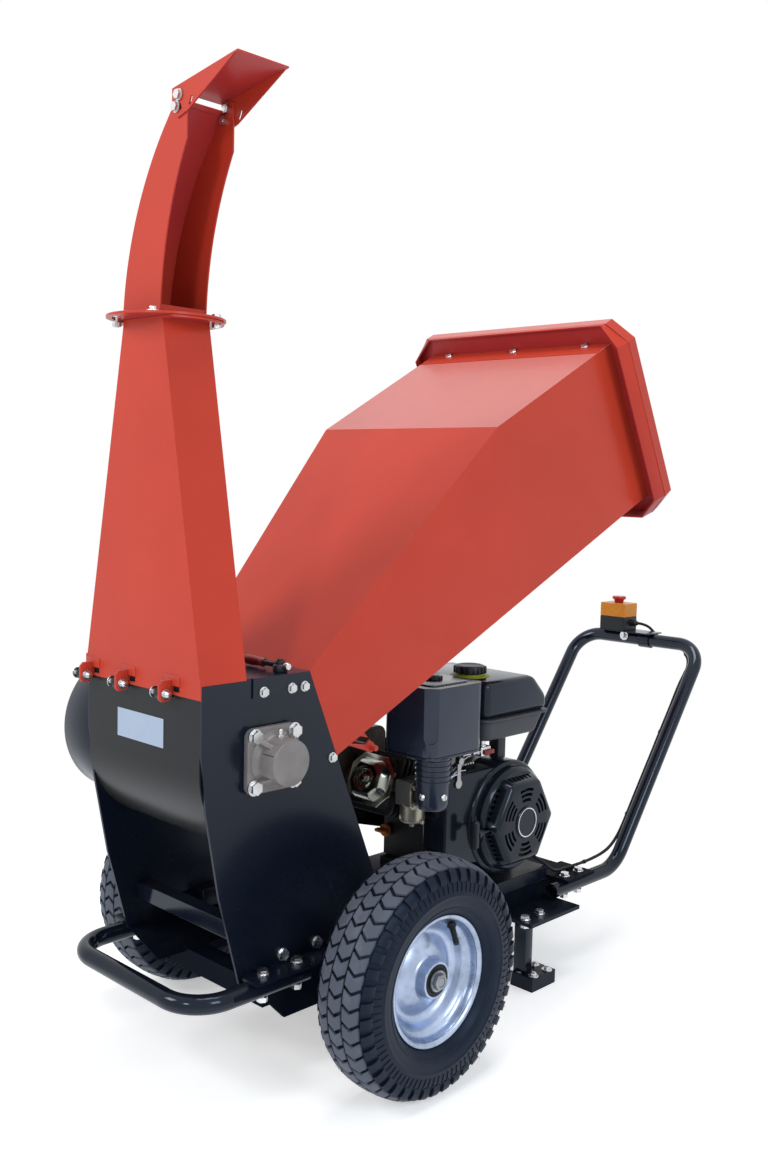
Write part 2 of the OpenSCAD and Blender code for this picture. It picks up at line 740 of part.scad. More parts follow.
module hopper_lip() color(red) {
    w = 2 * (mouth_half + lip_overhang);
    h = mouth_height + 2 * lip_overhang;
    in_mouth() translate([0, mouth_height / 2, 0]) {
        along_z(-3, 0) difference() {
            chamfered(w, h, lip_overhang);
            square([2 * mouth_half + 0.2, mouth_height + 0.2], center = true);
        }
        along_z(-3, lip_depth - 3) difference() {
            chamfered(w, h, lip_overhang);
            chamfered(w - 6, h - 6, lip_overhang - 1.8);
        }
    }
}

// Rubber curtain hanging straight down inside the mouth.
module hopper_curtain() color("#202020") {
    half = mouth_half - 13;
    translate([0, curtain_top[0], curtain_top[1]]) {
        box(-half, half, -2, 2, -40, 0);
        hole_x(-half, half, 0, 0, 4.2);
        for (i = [0:5]) {
            box(-half + i * half / 3 + 1, -half + (i + 1) * half / 3 - 1, -2, 2, -curtain_length, -39);
        }
    }
}

module hopper_stay() color(red) {
    f4 = [back_y(feed_low_z), feed_low_z];
    d = unit(mouth_low - f4);
    a = f4 + 30 * d;
    b = f4 + 78 * d;
    rod = [40, shell_z - 14];
    for (s = [-1, 1]) side_of(s) along_x(plate_in - 12, plate_in - 8) difference() {
        union() {
            polygon([a, b, rod + [7, 4], rod + [0, -9]]);
            translate(rod) circle(r = 10);
        }
        polygon([a + [18, -3], b + [-7, -13], rod + [-2, 16], rod + [-14, 6]]);
    }
    hole_x(-plate_in - 6, plate_in + 6, rod[0], rod[1], 10);
}

module tower_outline(inset) {
    slope = (plate_out - tower_top_half) / (tower_top - tower_seat);
    w0 = plate_out - inset;
    w1 = tower_top_half - inset;
    polygon([[-w0, tower_seat], [w0, tower_seat], [w1, tower_top], [-w1, tower_top]]);
}

module tower() color(red) {
    difference() {
        union() {
            along_y(tower_front, tower_back) tower_outline(0);
            box(-plate_out, plate_out, tower_front, tower_front + sheet, skirt_low, tower_seat + 1);
            translate([0, tower_mid, 0]) along_z(tower_top, tower_top + disc) circle(r = flange_radius - 3);
            for (x = hinge_spots) {
                hinge_tab(x - 18);
                hinge_tab(x);
            }
        }
        translate([0, 0, -1]) along_y(tower_front + sheet, tower_back - sheet) tower_outline(sheet);
        along_z(tower_top - 5, tower_top + disc + 1) polygon([
            [-tower_top_half + sheet, tower_front + sheet], [tower_top_half - sheet, tower_front + sheet],
            [tower_top_half - sheet, tower_back - sheet], [-tower_top_half + sheet, tower_back - sheet]]);
        for (x = hinge_spots) {
            box(x - 13, x, tower_front - 1, tower_front + sheet + 1, skirt_low - 1, skirt_low + 28);
            box(x + 5, x + 24, tower_front - 1, tower_front + sheet + 1, skirt_low + 5, skirt_low + 28);
        }
        for (a = swivel_angles) translate([0, tower_mid, 0])
            hole_z(swivel_radius * cos(a), swivel_radius * sin(a), tower_top - 1, tower_top + disc + 1,
                8 + 2 * bolt_gap);
    }
}
module hinge_tab(x) {
    along_x(x, x + 5) difference() {
        union() {
            translate([hinge_y, hinge_z]) circle(r = 10);
            polygon([[hinge_y - 10, hinge_z], [tower_front + 1, hinge_z + 2], [tower_front + 1, hinge_z + 34],
                [hinge_y - 4, hinge_z + 14]]);
        }
        translate([hinge_y, hinge_z]) circle(d = hinge_pin + 2 * turn_gap);
    }
}

module swivel_bolts() color(zinc) {
    for (a = swivel_angles)
        translate([swivel_radius * cos(a), tower_mid + swivel_radius * sin(a), chute_base + move_gap])
            bolt(8, 2 * disc + 2 * move_gap, true);
}

module outlet_wall() {
    difference() {
        intersection() {
            translate(outlet_middle) circle(r = outlet_radius, $fn = 180);
            translate([-90, chute_base]) square([90 + chute_edge, outlet_rise]);
        }
        translate(open_middle) circle(r = open_radius, $fn = 180);
    }
}

module chute() color(red) {
    inner = tower_top_half - sheet;
    difference() {
        union() {
            along_y(tower_front, tower_front + sheet) outlet_wall();
            along_y(tower_back - sheet, tower_back) outlet_wall();
            along_y(tower_front, tower_back) difference() {
                outlet_wall();
                translate(outlet_middle) circle(r = outlet_radius - sheet, $fn = 180);
                translate([0, chute_top - 16]) square([200, 40]);
            }
            translate([0, tower_mid, 0]) along_z(chute_low, chute_base) difference() {
                circle(r = flange_radius);
                for (a = swivel_angles) arc_slot(a);
            }
            box(42, 45, tower_front + 1, tower_back - 1, chute_base - 1, chute_base + 14);
        }
        box(-tower_top_half + 3, 42, tower_front + sheet, tower_back - sheet, chute_low - 1, chute_base + 1);
        for (y = [tower_front, tower_back - sheet],
            q = [pivot, arc_point(pivot, clamp_radius, clamp_angle)]) {
            translate([q[0], y - 1, q[1]]) rotate([-90, 0, 0]) cylinder(d = 8 + 2 * bolt_gap, h = sheet + 2);
        }
    }
}
module arc_slot(a) {
    h = swivel_half_range + 3.5;
    difference() {
        intersection() {
            circle(r = swivel_radius + 4.6);
            polygon([[0, 0], 160 * [cos(a - h), sin(a - h)], 190 * [cos(a), sin(a)],
                160 * [cos(a + h), sin(a + h)]]);
        }
        circle(r = swivel_radius - 4.6);
    }
}

module chute_bolts() color(zinc) {
    out = sheet + 2 * move_gap;
    for (q = [pivot, arc_point(pivot, clamp_radius, clamp_angle)]) {
        translate([q[0], tower_front - out, q[1]]) rotate([90, 0, 0]) bolt(8, out + sheet, true);
        translate([q[0], tower_back + out, q[1]]) rotate([-90, 0, 0]) bolt(8, out + sheet, true);
    }
}

module deflector() color(red) {
    p = pivot;
    top_a = p + [-19, 13];
    top_b = p + [139, 36];
    d = unit(top_b - top_a);
    n = [d[1], -d[0]];
    y0 = tower_front - move_gap - sheet;
    y1 = tower_back + move_gap + sheet;
    difference() {
        union() {
            for (y = [y0, y1 - sheet]) along_y(y, y + sheet)
                polygon([top_a, top_b, p + [21, -26], p + [-5, -33], p + [-19, -16]]);
            along_y(y0, y1) polygon([top_a, top_b, top_b + sheet * n, top_a + sheet * n]);
        }
        translate([p[0], y0 - 1, p[1]]) rotate([-90, 0, 0]) cylinder(d = 8 + 2 * turn_gap, h = y1 - y0 + 2);
        along_y(y0 - 1, y1 + 1) translate(p) clamp_slot();
        along_y(y0 - 1, y1 + 1) translate(p) difference() {
            intersection() {
                circle(r = 34);
                polygon([[0, 0], [60, -14], [60, -46]]);
            }
            circle(r = 29);
        }
    }
}
module clamp_slot() {
    h = 38;
    difference() {
        intersection() {
            circle(r = clamp_radius + 4.6);
            polygon([[0, 0], 60 * [cos(clamp_angle - h), sin(clamp_angle - h)],
                80 * [cos(clamp_angle), sin(clamp_angle)],
                60 * [cos(clamp_angle + h), sin(clamp_angle + h)]]);
        }
        circle(r = clamp_radius - 4.6);
    }
}

module latch_lever() color("#8c1f1c") {
    z = housing_top + 3 + move_gap;
    difference() {
        translate([latch_spot[0], latch_spot[1], z]) {
            cylinder(d = 24, h = 18);
            box(-42, 0, -6, 6, 6, 14);
            translate([-88, 0, 10]) rotate([0, 90, 0]) cylinder(d = 17, h = 48);
        }
        hole_z(latch_spot[0], latch_spot[1], z - 1, z + 30, 10 + 2 * turn_gap);
    }
}

module engine_block() color("#3a3a3c") {
    difference() {
        union() {
            box(case_left, case_right, 345, 555, deck_top + 18, crank_z + 92);
            box(case_left + 12, case_right - 8, 322, 578, deck_top, deck_top + 20);
            hole_x(case_left - 10, case_left + 5, crank_back, crank_z, 90);
            translate([dip_spot[0], 337, dip_spot[1]]) rotate([-90, 0, 0]) cylinder(d = 26, h = 12);
        }
        hole_x(case_left - 11, case_left + 26, crank_back, crank_z, 25 + 2 * turn_gap);
        translate([dip_spot[0], 336, dip_spot[1]]) rotate([-90, 0, 0])
            cylinder(d = 16 + 2 * turn_gap, h = 30);
    }
}

// Local frame of the cylinder: z along the cylinder away from the crankshaft.
module in_cylinder() {
    translate([cylinder_x, crank_back, crank_z]) rotate([90 - cylinder_tilt, 0, 0]) children();
}

module cylinder_head() color("#4a4a4b") {
    difference() {
        in_cylinder() {
            along_z(80, 262) rounded(104, 100, 10);
            for (i = [0:9]) along_z(122 + 14 * i, 128 + 14 * i) rounded(128, 122, 14);
        }
        box(case_left - 20, case_right, 345, 600, deck_top - 50, crank_z + 150);
    }
}

module valve_cover() color("#b9b7ad") {
    in_cylinder() {
        along_z(262, 274) chamfered(118, 100, 26);
        translate([0, 0, 274]) linear_extrude(16, scale = 0.72) chamfered(110, 92, 25);
        translate([0, 0, 280]) cylinder(d = 20, h = 16, $fn = 6);
    }
}

module fan_shroud() color(black) {
    difference() {
        union() {
            hole_x(case_right, recoil_back, crank_back, crank_z, 236);
            box(case_right, shroud_right, 262, crank_back, crank_z + 20, crank_z + 110);
        }
        hole_x(case_right + 20, recoil_back + 1, crank_back, crank_z, 196);
        hole_x(shroud_right - 8, shroud_right + 1, lever_spot[0], lever_spot[1], 8 + 2 * turn_gap);
        box(0, 400, crank_back - 200, crank_back + 200, deck_top - 100, deck_top + 8);
    }
}

module recoil_cover() color(black) {
    r = recoil_radius;
    difference() {
        union() {
            hole_x(recoil_back, recoil_back + 16, crank_back, crank_z, 2 * r);
            translate([recoil_back + 15, crank_back, crank_z]) rotate([30, 0, 0]) rotate([0, 90, 0])
                cylinder(r1 = r, r2 = r - 15, h = recoil_face - recoil_back - 15, $fn = 6);
            hole_x(recoil_face - 1, recoil_face + 3, crank_back, crank_z, 62);
        }
        hole_x(recoil_back - 1, recoil_back + 26, crank_back, crank_z, 1.5 * r);
        translate([0, crank_back, crank_z]) for (k = [0:5], j = [0:3]) rotate([60 * k, 0, 0])
            along_x(recoil_back + 20, recoil_face + 10) translate([0, 40 + 10.5 * j]) {
                square([26 + 5 * j, 5], center = true);
            }
        translate([0, crank_back, 0]) box(grip_spot[0] - 2.5 - move_gap, grip_spot[0] + 2.5 + move_gap,
            -200, -60, grip_spot[1] - 2.5 - move_gap, grip_spot[1] + 2.5 + move_gap);
    }
}

module recoil_grip() color(black) {
    y = crank_back - recoil_radius - 2;
    translate([grip_spot[0], y, grip_spot[1]]) {
        translate([0, 60, 0]) rotate([90, 0, 0]) cylinder(d = 5, h = 70);
        translate([0, -6, 0]) rotate([90, 0, 0]) cylinder(d1 = 14, d2 = 18, h = 16);
        translate([0, -22, 0]) rotate([90, 0, 0]) linear_extrude(12) rounded(18, 70, 8.5);
    }
}

module air_cleaner() color(black) {
    y0 = 178;
    y1 = 334;
    z0 = crank_z + 164;
    z1 = crank_z + 300;
    translate([105, (y0 + y1) / 2, 0]) {
        along_z(z0, z1 - 26) rounded(130, y1 - y0, 16);
        translate([0, 0, z1 - 26]) linear_extrude(26, scale = 0.8) rounded(130, y1 - y0, 16);
    }
    translate([138, 222, 0]) {
        along_z(crank_z + 60, z0 + 1) circle(r = 33);
        for (i = [0:4]) along_z(crank_z + 112 + 10 * i, crank_z + 117 + 10 * i) circle(r = 36);
    }
}

module carburetor() color("#8d8d8b") {
    h = 235;
    y = crank_back - h * cos(cylinder_tilt);
    z = crank_z + h * sin(cylinder_tilt);
    difference() {
        union() {
            hole_x(cylinder_x + 52, 120, y, z, 44);
            box(60, 98, y - 28, y + 28, z - 24, z + 24);
            hole_z(80, y, z - 56, z - 20, 50);
        }
        hole_z(138, 222, 300, 700, 66);
        in_cylinder() {
            along_z(80, 270) rounded(104, 100, 10);
            for (i = [0:9]) along_z(122 + 14 * i, 128 + 14 * i) rounded(128, 122, 14);
        }
    }
}

module fuel_tank() color(black) {
    difference() {
        tank_solid();
        box(tank_left + 24, tank_right - 24, tank_front + 22, tank_rear - 22, tank_low + 8, tank_top - 8);
        hole_z(cap_spot[0], cap_spot[1], tank_top - 20, tank_top + 6, 40);
    }
}
module tank_solid() {
    w = tank_right - tank_left;
    d = tank_rear - tank_front;
    translate([(tank_left + tank_right) / 2, (tank_front + tank_rear) / 2, 0]) {
        translate([0, 0, tank_seam]) mirror([0, 0, 1])
            linear_extrude(tank_seam - tank_low, scale = 0.9) rounded(w - 8, d - 8, 20);
        along_z(tank_seam, tank_seam + 4) rounded(w + 6, d + 4, 24);
        along_z(tank_seam + 4, tank_top - 22) rounded(w - 4, d - 4, 22);
        translate([0, 0, tank_top - 22]) linear_extrude(22, scale = 0.86) rounded(w - 4, d - 4, 22);
    }
    translate([cap_spot[0], cap_spot[1], 0]) along_z(tank_top - 6, tank_top + 5) circle(r = 24);
    for (x = [-45, 40], y = [400, 510]) box(x, x + 26, y, y + 26, crank_z + 92, tank_low + 1);
}

module fuel_cap() color(black) {
    translate([cap_spot[0], cap_spot[1], tank_top + 5 + move_gap]) difference() {
        union() {
            cylinder(r = 31, h = 17);
            for (a = [0:30:330]) rotate(a) translate([30, 0, 0]) cylinder(r = 4, h = 15);
        }
    }
}

module muffler() color("#5d5a57") {
    h = 235;
    y = crank_back - h * cos(cylinder_tilt);
    z = crank_z + h * sin(cylinder_tilt);
    difference() {
        union() {
            translate([0, 235, z + 32]) along_x(-152, -88) rounded(176, 120, 22);
            hole_x(-90, cylinder_x - 50, y, z, 40);
            translate([-120, 150, z + 60]) rotate([90, 0, 0]) cylinder(d = 26, h = 22);
        }
        in_cylinder() {
            along_z(80, 270) rounded(104, 100, 10);
            for (i = [0:9]) along_z(122 + 14 * i, 128 + 14 * i) rounded(128, 122, 14);
        }
    }
}

module dipstick() color("#d0702a") {
    translate([dip_spot[0], 337 - move_gap, dip_spot[1]]) rotate([90, 0, 0]) {
        cylinder(d = 26, h = 8);
        translate([0, 0, 8]) linear_extrude(14) square([34, 8], center = true);
        translate([0, 0, -26]) cylinder(d = 16, h = 27);
    }
}

module throttle_lever() color(zinc) {
    translate([shroud_right + move_gap, lever_spot[0], lever_spot[1]]) rotate([0, 90, 0]) {
        cylinder(d = 18, h = 4);
        translate([0, 0, -8]) cylinder(d = 8, h = 9);
        translate([-46, -5, 0]) cube([46, 10, 4]);
        translate([-46, 0, 0]) cylinder(d = 14, h = 9);
    }
}

module tyre(s) color("#262626") side_of(s) {
    r = tyre_diameter / 2;
    w = tyre_width / 2;
    k = 34;
    seat = rim_diameter / 2;
    translate([wheel_x, 0, axle_height]) rotate([0, 90, 0]) rotate_extrude() difference() {
        union() {
            translate([seat + 40, -w + k]) square([r - seat - 40, 2 * (w - k)]);
            translate([seat + 38, -w]) square([r - k - seat - 38, 2 * w]);
            for (z = [-1, 1]) translate([r - k, z * (w - k)]) circle(r = k);
            polygon([[seat, -rim_width / 2], [seat + 11, -rim_width / 2], [seat + 38, -w], [seat + 38, w],
                [seat + 11, rim_width / 2], [seat, rim_width / 2]]);
        }
        translate([seat - 1, -rim_width / 2 + 12]) square([16, rim_width - 24]);
        polygon([[seat + 14, -rim_width / 2 + 12], [seat + 38, -w + 10], [r - 26, -w + 10], [r - 14, -w + 24],
            [r - 14, w - 24], [r - 26, w - 10], [seat + 38, w - 10], [seat + 14, rim_width / 2 - 12]]);
    }
}
module tyre_left() tyre(-1);
module tyre_right() tyre(1);

module rim(s) color("#c4c6c9") side_of(s) {
    seat = rim_diameter / 2;
    w = rim_width / 2;
    bore = axle_diameter / 2 + turn_gap;
    translate([wheel_x, 0, axle_height]) rotate([0, 90, 0]) rotate_extrude() {
        translate([seat - 4, -w - 3]) square([4, 2 * w + 6]);
        for (z = [-w - 3, w]) translate([seat - 2, z]) square([12, 3]);
        polygon([[24, 6], [46, 6], [70, 20], [seat - 2, 20], [seat - 2, 24], [68, 24], [44, 10], [24, 10]]);
        translate([bore, -35]) square([27 - bore, 73]);
    }
}
module rim_left() rim(-1);
module rim_right() rim(1);

module bolts_m12() color(zinc) {
    for (s = [-1, 1], y = [-1, 1], z = [-1, 1]) {
        bolt_x(s, plate_out + bearing_base, rotor_y + y * bearing_bolt_pitch,
            rotor_height + z * bearing_bolt_pitch, 12, bearing_base + plate_thickness + 2);
    }
}

module bolts_m10() color(zinc) {
    for (s = [-1, 1]) {
        for (y = plate_bolt_spots) bolt_x(s, plate_out, y, plate_bolt_z, 10, plate_thickness + 7, true);
        side_of(s) {
            for (y = bumper_bolt_spots) translate([tube_half_width, y, flange_low + foot_thickness])
                bolt(10, foot_thickness + tube_diameter, true);
            for (y = handle_bolt_spots) translate([tube_half_width, y, rail_top + handle_plate])
                bolt(10, handle_plate + tube_diameter, true);
            for (y = leg_bolt_spots) translate([leg_bolt_x, y, rail_low]) bolt(10, leg_thickness, true);
        }
    }
}

module bolts_m8() color(zinc) {
    for (y = cover_bolt_spots) bolt_x(1, plate_out + 3, y, cover_bolt_z, 8, plate_thickness + 3, true);
    for (s = [-1, 1]) bolt_x(s, plate_out, stay_bolt[0], stay_bolt[1], 8, plate_thickness);
    in_mouth() for (x = [-185, 0, 185]) translate([x, 0, -12]) rotate([90, 0, 0])
        bolt(8, sheet, true);
}

module hinge_bolts() color(zinc) {
    for (x = hinge_spots) translate([x - 18 - move_gap, hinge_y, hinge_z]) rotate([0, -90, 0]) {
        cylinder(d = 1.85 * hinge_pin, h = 6, $fn = 6);
        translate([0, 0, -24 - 2 * move_gap]) cylinder(d = hinge_pin, h = 26);
        translate([0, 0, -31 - 2 * move_gap]) cylinder(d = 1.85 * hinge_pin, h = 7, $fn = 6);
    }
}

chassis();
axle();
axle_nuts();
front_bumper();
leg_left();
leg_right();
engine_deck();
push_handle();
estop_bracket();
estop_base();
estop_lid();
estop_button();
estop_cable();
side_plate_left();
side_plate_right();
drum_shell();
cross_bar();
top_cover();
nameplate();
counter_knife();
rotor_drum();
rotor_knives();
bearing_left();
bearing_right();
rotor_pulley();
crank_pulley();
drive_belts();
belt_guard();
hopper_body();
hopper_lip();
hopper_curtain();
hopper_stay();
tower();
swivel_bolts();
chute();
chute_bolts();
deflector();
latch_lever();
engine_block();
cylinder_head();
valve_cover();
fan_shroud();
recoil_cover();
recoil_grip();
air_cleaner();
carburetor();
fuel_tank();
fuel_cap();
muffler();
dipstick();
throttle_lever();
tyre_left();
tyre_right();
rim_left();
rim_right();
bolts_m12();
bolts_m10();
bolts_m8();
hinge_bolts();
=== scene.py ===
import json
import math

import bpy
from mathutils import Matrix, Vector

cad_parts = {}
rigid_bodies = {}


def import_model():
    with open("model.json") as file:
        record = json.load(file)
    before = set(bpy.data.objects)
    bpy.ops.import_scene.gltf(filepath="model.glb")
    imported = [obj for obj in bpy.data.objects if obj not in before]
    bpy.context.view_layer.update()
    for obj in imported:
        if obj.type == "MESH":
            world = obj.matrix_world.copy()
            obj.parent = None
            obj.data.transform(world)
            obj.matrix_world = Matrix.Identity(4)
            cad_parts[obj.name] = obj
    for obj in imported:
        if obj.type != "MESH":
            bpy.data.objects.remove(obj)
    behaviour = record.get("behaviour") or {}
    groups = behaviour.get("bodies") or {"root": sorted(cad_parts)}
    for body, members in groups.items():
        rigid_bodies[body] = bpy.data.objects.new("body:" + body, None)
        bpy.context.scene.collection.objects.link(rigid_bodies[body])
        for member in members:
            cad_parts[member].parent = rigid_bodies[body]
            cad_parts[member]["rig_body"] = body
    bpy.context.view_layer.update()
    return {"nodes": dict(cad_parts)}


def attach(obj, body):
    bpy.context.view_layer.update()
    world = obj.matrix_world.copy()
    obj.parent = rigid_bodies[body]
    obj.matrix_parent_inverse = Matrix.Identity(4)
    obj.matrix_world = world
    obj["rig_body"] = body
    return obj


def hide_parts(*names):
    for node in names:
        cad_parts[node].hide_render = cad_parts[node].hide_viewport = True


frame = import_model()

bl_info = {
    "name": "Garden shredder looks",
    "version": (1, 0, 0),
    "blender": (4, 5, 0),
    "location": "3D View > Sidebar > Shredder",
    "description": "Finishes, modelled details and studio for a petrol garden shredder",
    "category": "Object",
}

NODES = frame["nodes"]
MM = 0.001
FINISHES = {}


# Selection and mesh helpers

def deselect():
    """Leave edit mode and select nothing."""
    if bpy.context.mode != "OBJECT":
        bpy.ops.object.mode_set(mode="OBJECT")
    bpy.ops.object.select_all(action="DESELECT")


def choose(piece):
    """Make one piece the only selected and active one."""
    deselect()
    piece.select_set(True)
    bpy.context.view_layer.objects.active = piece


def to_edit(piece, kind="FACE"):
    """Open a piece in edit mode with everything selected."""
    choose(piece)
    bpy.ops.object.mode_set(mode="EDIT")
    bpy.ops.mesh.select_mode(type=kind)
    bpy.ops.mesh.select_all(action="SELECT")


def pick(piece, test, kind="FACE"):
    """In edit mode, select the faces, edges or points for which the test holds."""
    bpy.ops.mesh.select_mode(type=kind)
    bpy.ops.mesh.select_all(action="DESELECT")
    bpy.ops.object.mode_set(mode="OBJECT")
    mesh = piece.data
    for item in {"FACE": mesh.polygons, "EDGE": mesh.edges, "VERT": mesh.vertices}[kind]:
        item.select = bool(test(item))
    bpy.ops.object.mode_set(mode="EDIT")


def place_applied(piece):
    """Put place, turn and size of a piece into its mesh."""
    choose(piece)
    bpy.ops.object.transform_apply(location=True, rotation=True, scale=True)
    return piece


def block(name, low, high):
    """Box between two corners, in millimetres."""
    deselect()
    middle = [(a + b) / 2 * MM for a, b in zip(low, high)]
    size = [(b - a) * MM for a, b in zip(low, high)]
    bpy.ops.mesh.primitive_cube_add(size=1, location=middle, scale=size)
    piece = bpy.context.object
    piece.name = name
    return place_applied(piece)


AXES = {"X": (1, 0, 0), "Y": (0, 1, 0), "Z": (0, 0, 1)}
TURN_TO = {"X": (0, math.pi / 2, 0), "Y": (-math.pi / 2, 0, 0), "Z": (0, 0, 0)}


def rod(name, start, axis, radius, length, sides=32):
    """Cylinder from a start point along +X, +Y or +Z, in millimetres."""
    deselect()
    middle = [(s + d * length / 2) * MM for s, d in zip(start, AXES[axis])]
    bpy.ops.mesh.primitive_cylinder_add(
        vertices=sides, radius=radius * MM, depth=length * MM, location=middle, rotation=TURN_TO[axis])
    piece = bpy.context.object
    piece.name = name
    return place_applied(piece)


def lathe(name, profile, centre, axis, steps=64):
    """Spin a profile of (radius, along) points, in millimetres, about an axis through a centre."""
    deselect()
    along = Vector(AXES[axis])
    out = Vector(AXES["Z" if axis == "X" else "X"])
    points = [(Vector(centre) + along * a + out * r) * MM for r, a in profile]
    bpy.ops.mesh.primitive_plane_add(size=0.002)
    piece = bpy.context.object
    piece.name = name
    to_edit(piece, "VERT")
    bpy.ops.mesh.merge(type="CENTER")
    bpy.ops.transform.translate(value=points[0])
    for a, b in zip(points, points[1:]):
        bpy.ops.mesh.extrude_vertices_move(TRANSFORM_OT_translate={"value": b - a})
    bpy.ops.mesh.select_all(action="SELECT")
    bpy.ops.mesh.spin(steps=steps, angle=2 * math.pi, center=Vector(centre) * MM, axis=along)
    bpy.ops.mesh.select_all(action="SELECT")
    bpy.ops.mesh.remove_doubles(threshold=1e-6)
    bpy.ops.mesh.normals_make_consistent(inside=False)
    deselect()
    return piece


def prism(name, outline, axis, start, end):
    """Solid with a flat outline on the other two axes, in order, extruded along an axis."""
    deselect()
    order = {"X": (1, 2, 0), "Y": (0, 2, 1), "Z": (0, 1, 2)}[axis]

    def spot(p, along):
        v = Vector((0, 0, 0))
        v[order[0]], v[order[1]], v[order[2]] = p[0] * MM, p[1] * MM, along * MM
        return v

    bpy.ops.mesh.primitive_circle_add(vertices=len(outline), radius=1, fill_type="NGON")
    piece = bpy.context.object
    piece.name = name
    for vertex, p in zip(piece.data.vertices, outline):
        vertex.co = spot(p, start)
    to_edit(piece)
    bpy.ops.mesh.extrude_region_move(
        TRANSFORM_OT_translate={"value": spot((0, 0), end) - spot((0, 0), start)})
    bpy.ops.mesh.select_all(action="SELECT")
    bpy.ops.mesh.normals_make_consistent(inside=False)
    deselect()
    return piece


def soften(piece, width, segments=3, angle=35):
    """Round the sharp edges of a piece with an applied bevel."""
    choose(piece)
    bevel = piece.modifiers.new("edges", "BEVEL")
    bevel.width = width * MM
    bevel.segments = segments
    bevel.limit_method = "ANGLE"
    bevel.angle_limit = math.radians(angle)
    bevel.harden_normals = False
    bpy.ops.object.modifier_apply(modifier=bevel.name)
    return piece


def cut(piece, tool):
    """Take the shape of a tool out of a piece and remove the tool."""
    choose(piece)
    boolean = piece.modifiers.new("cut", "BOOLEAN")
    boolean.operation = "DIFFERENCE"
    boolean.solver = "EXACT"
    boolean.object = tool
    bpy.ops.object.modifier_apply(modifier=boolean.name)
    bpy.data.objects.remove(tool)
    return piece


def join(name, pieces):
    """Join pieces into one object."""
    choose(pieces[0])
    for p in pieces[1:]:
        p.select_set(True)
    if len(pieces) > 1:
        bpy.ops.object.join()
    piece = bpy.context.object
    piece.name = name
    return piece


def dress(piece, body, finish, stands_for=(), angle=35):
    """Smooth a finished piece, give it its finish and put it on a body."""
    choose(piece)
    bpy.ops.object.shade_smooth_by_angle(angle=math.radians(angle))
    deselect()
    piece.data.materials.clear()
    piece.data.materials.append(FINISHES[finish])
    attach(piece, body)
    if stands_for:
        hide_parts(*stands_for)
    return piece


# Shader helpers

class Link:
    """A value socket on which maths can be written."""

    def __init__(self, finish, socket):
        self.finish = finish
        self.socket = socket

    def maths(self, kind, a, b):
        return self.finish.add("ShaderNodeMath", {"operation": kind}, {0: a, 1: b})

    def __add__(self, other):
        return self.maths("ADD", self, other)

    def __radd__(self, other):
        return self.maths("ADD", other, self)

    def __sub__(self, other):
        return self.maths("SUBTRACT", self, other)

    def __mul__(self, other):
        return self.maths("MULTIPLY", self, other)

    def __pow__(self, other):
        return self.maths("POWER", self, other)


class Finish:
    """A procedural material and its node tree."""

    def __init__(self, name):
        self.material = bpy.data.materials.new(name)
        self.material.use_nodes = True
        self.tree = self.material.node_tree
        self.tree.nodes.clear()
        self.shader = self.tree.nodes.new("ShaderNodeBsdfPrincipled")
        out = self.tree.nodes.new("ShaderNodeOutputMaterial")
        self.tree.links.new(self.shader.outputs[0], out.inputs[0])
        self.place = self.add("ShaderNodeTexCoord", out="Object")

    def add(self, kind, settings=None, inputs=None, out=0):
        node = self.tree.nodes.new(kind)
        for key, value in (settings or {}).items():
            setattr(node, key, value)
        for key, value in (inputs or {}).items():
            self.feed(node.inputs[key], value)
        return Link(self, node.outputs[out])

    def feed(self, socket, value):
        """Link a value to a socket, or set a plain number or colour there."""
        if isinstance(value, Link):
            self.tree.links.new(value.socket, socket)
        else:
            socket.default_value = value

    def set(self, **inputs):
        for key, value in inputs.items():
            self.feed(self.shader.inputs[key.replace("_", " ")], value)

    def noise(self, scale, detail=2.0, rough=0.5):
        return self.add("ShaderNodeTexNoise", {"noise_dimensions": "3D"},
                        {"Vector": self.place, "Scale": scale, "Detail": detail, "Roughness": rough})

    def cells(self, scale):
        return self.add("ShaderNodeTexVoronoi", {"feature": "F1"},
                        {"Vector": self.place, "Scale": scale}, out="Distance")

    def ramp(self, value, low, high):
        return self.add("ShaderNodeMapRange", {"clamp": True},
                        {"Value": value, "From Min": low, "From Max": high, "To Min": 0.0, "To Max": 1.0})

    def blend(self, share, a, b):
        return self.add("ShaderNodeMix", {"data_type": "RGBA", "blend_type": "MIX"},
                        {"Factor": share, 6: a, 7: b}, out=2)

    def bump(self, height, strength, distance):
        return self.add("ShaderNodeBump", None,
                        {"Height": height, "Strength": strength, "Distance": distance})

    def up(self):
        """Share of the surface that faces up, 0 to 1, and height above the ground in metres."""
        normal = self.add("ShaderNodeNewGeometry", out="Normal")
        facing = self.add("ShaderNodeSeparateXYZ", None, {0: normal}, out=2)
        height = self.add("ShaderNodeSeparateXYZ", None, {0: self.place}, out=2)
        return facing, height

    def tread_rise(self):
        """Height above the groove floor of a tyre tread, in metres."""
        x, y, z = (self.add("ShaderNodeSeparateXYZ", None, {0: self.place}, out=axis) for axis in range(3))
        across = x.maths("ABSOLUTE", x, 0.0) - WHEEL_X * MM
        up = z - AXLE_Z * MM
        return (y * y + up * up) ** 0.5 + across * across * CROWN_DROP - CROWN[0][1] * MM


def rgba(colour):
    return (colour[0], colour[1], colour[2], 1.0)


def shade(colour, factor):
    return (colour[0] * factor, colour[1] * factor, colour[2] * factor, 1.0)


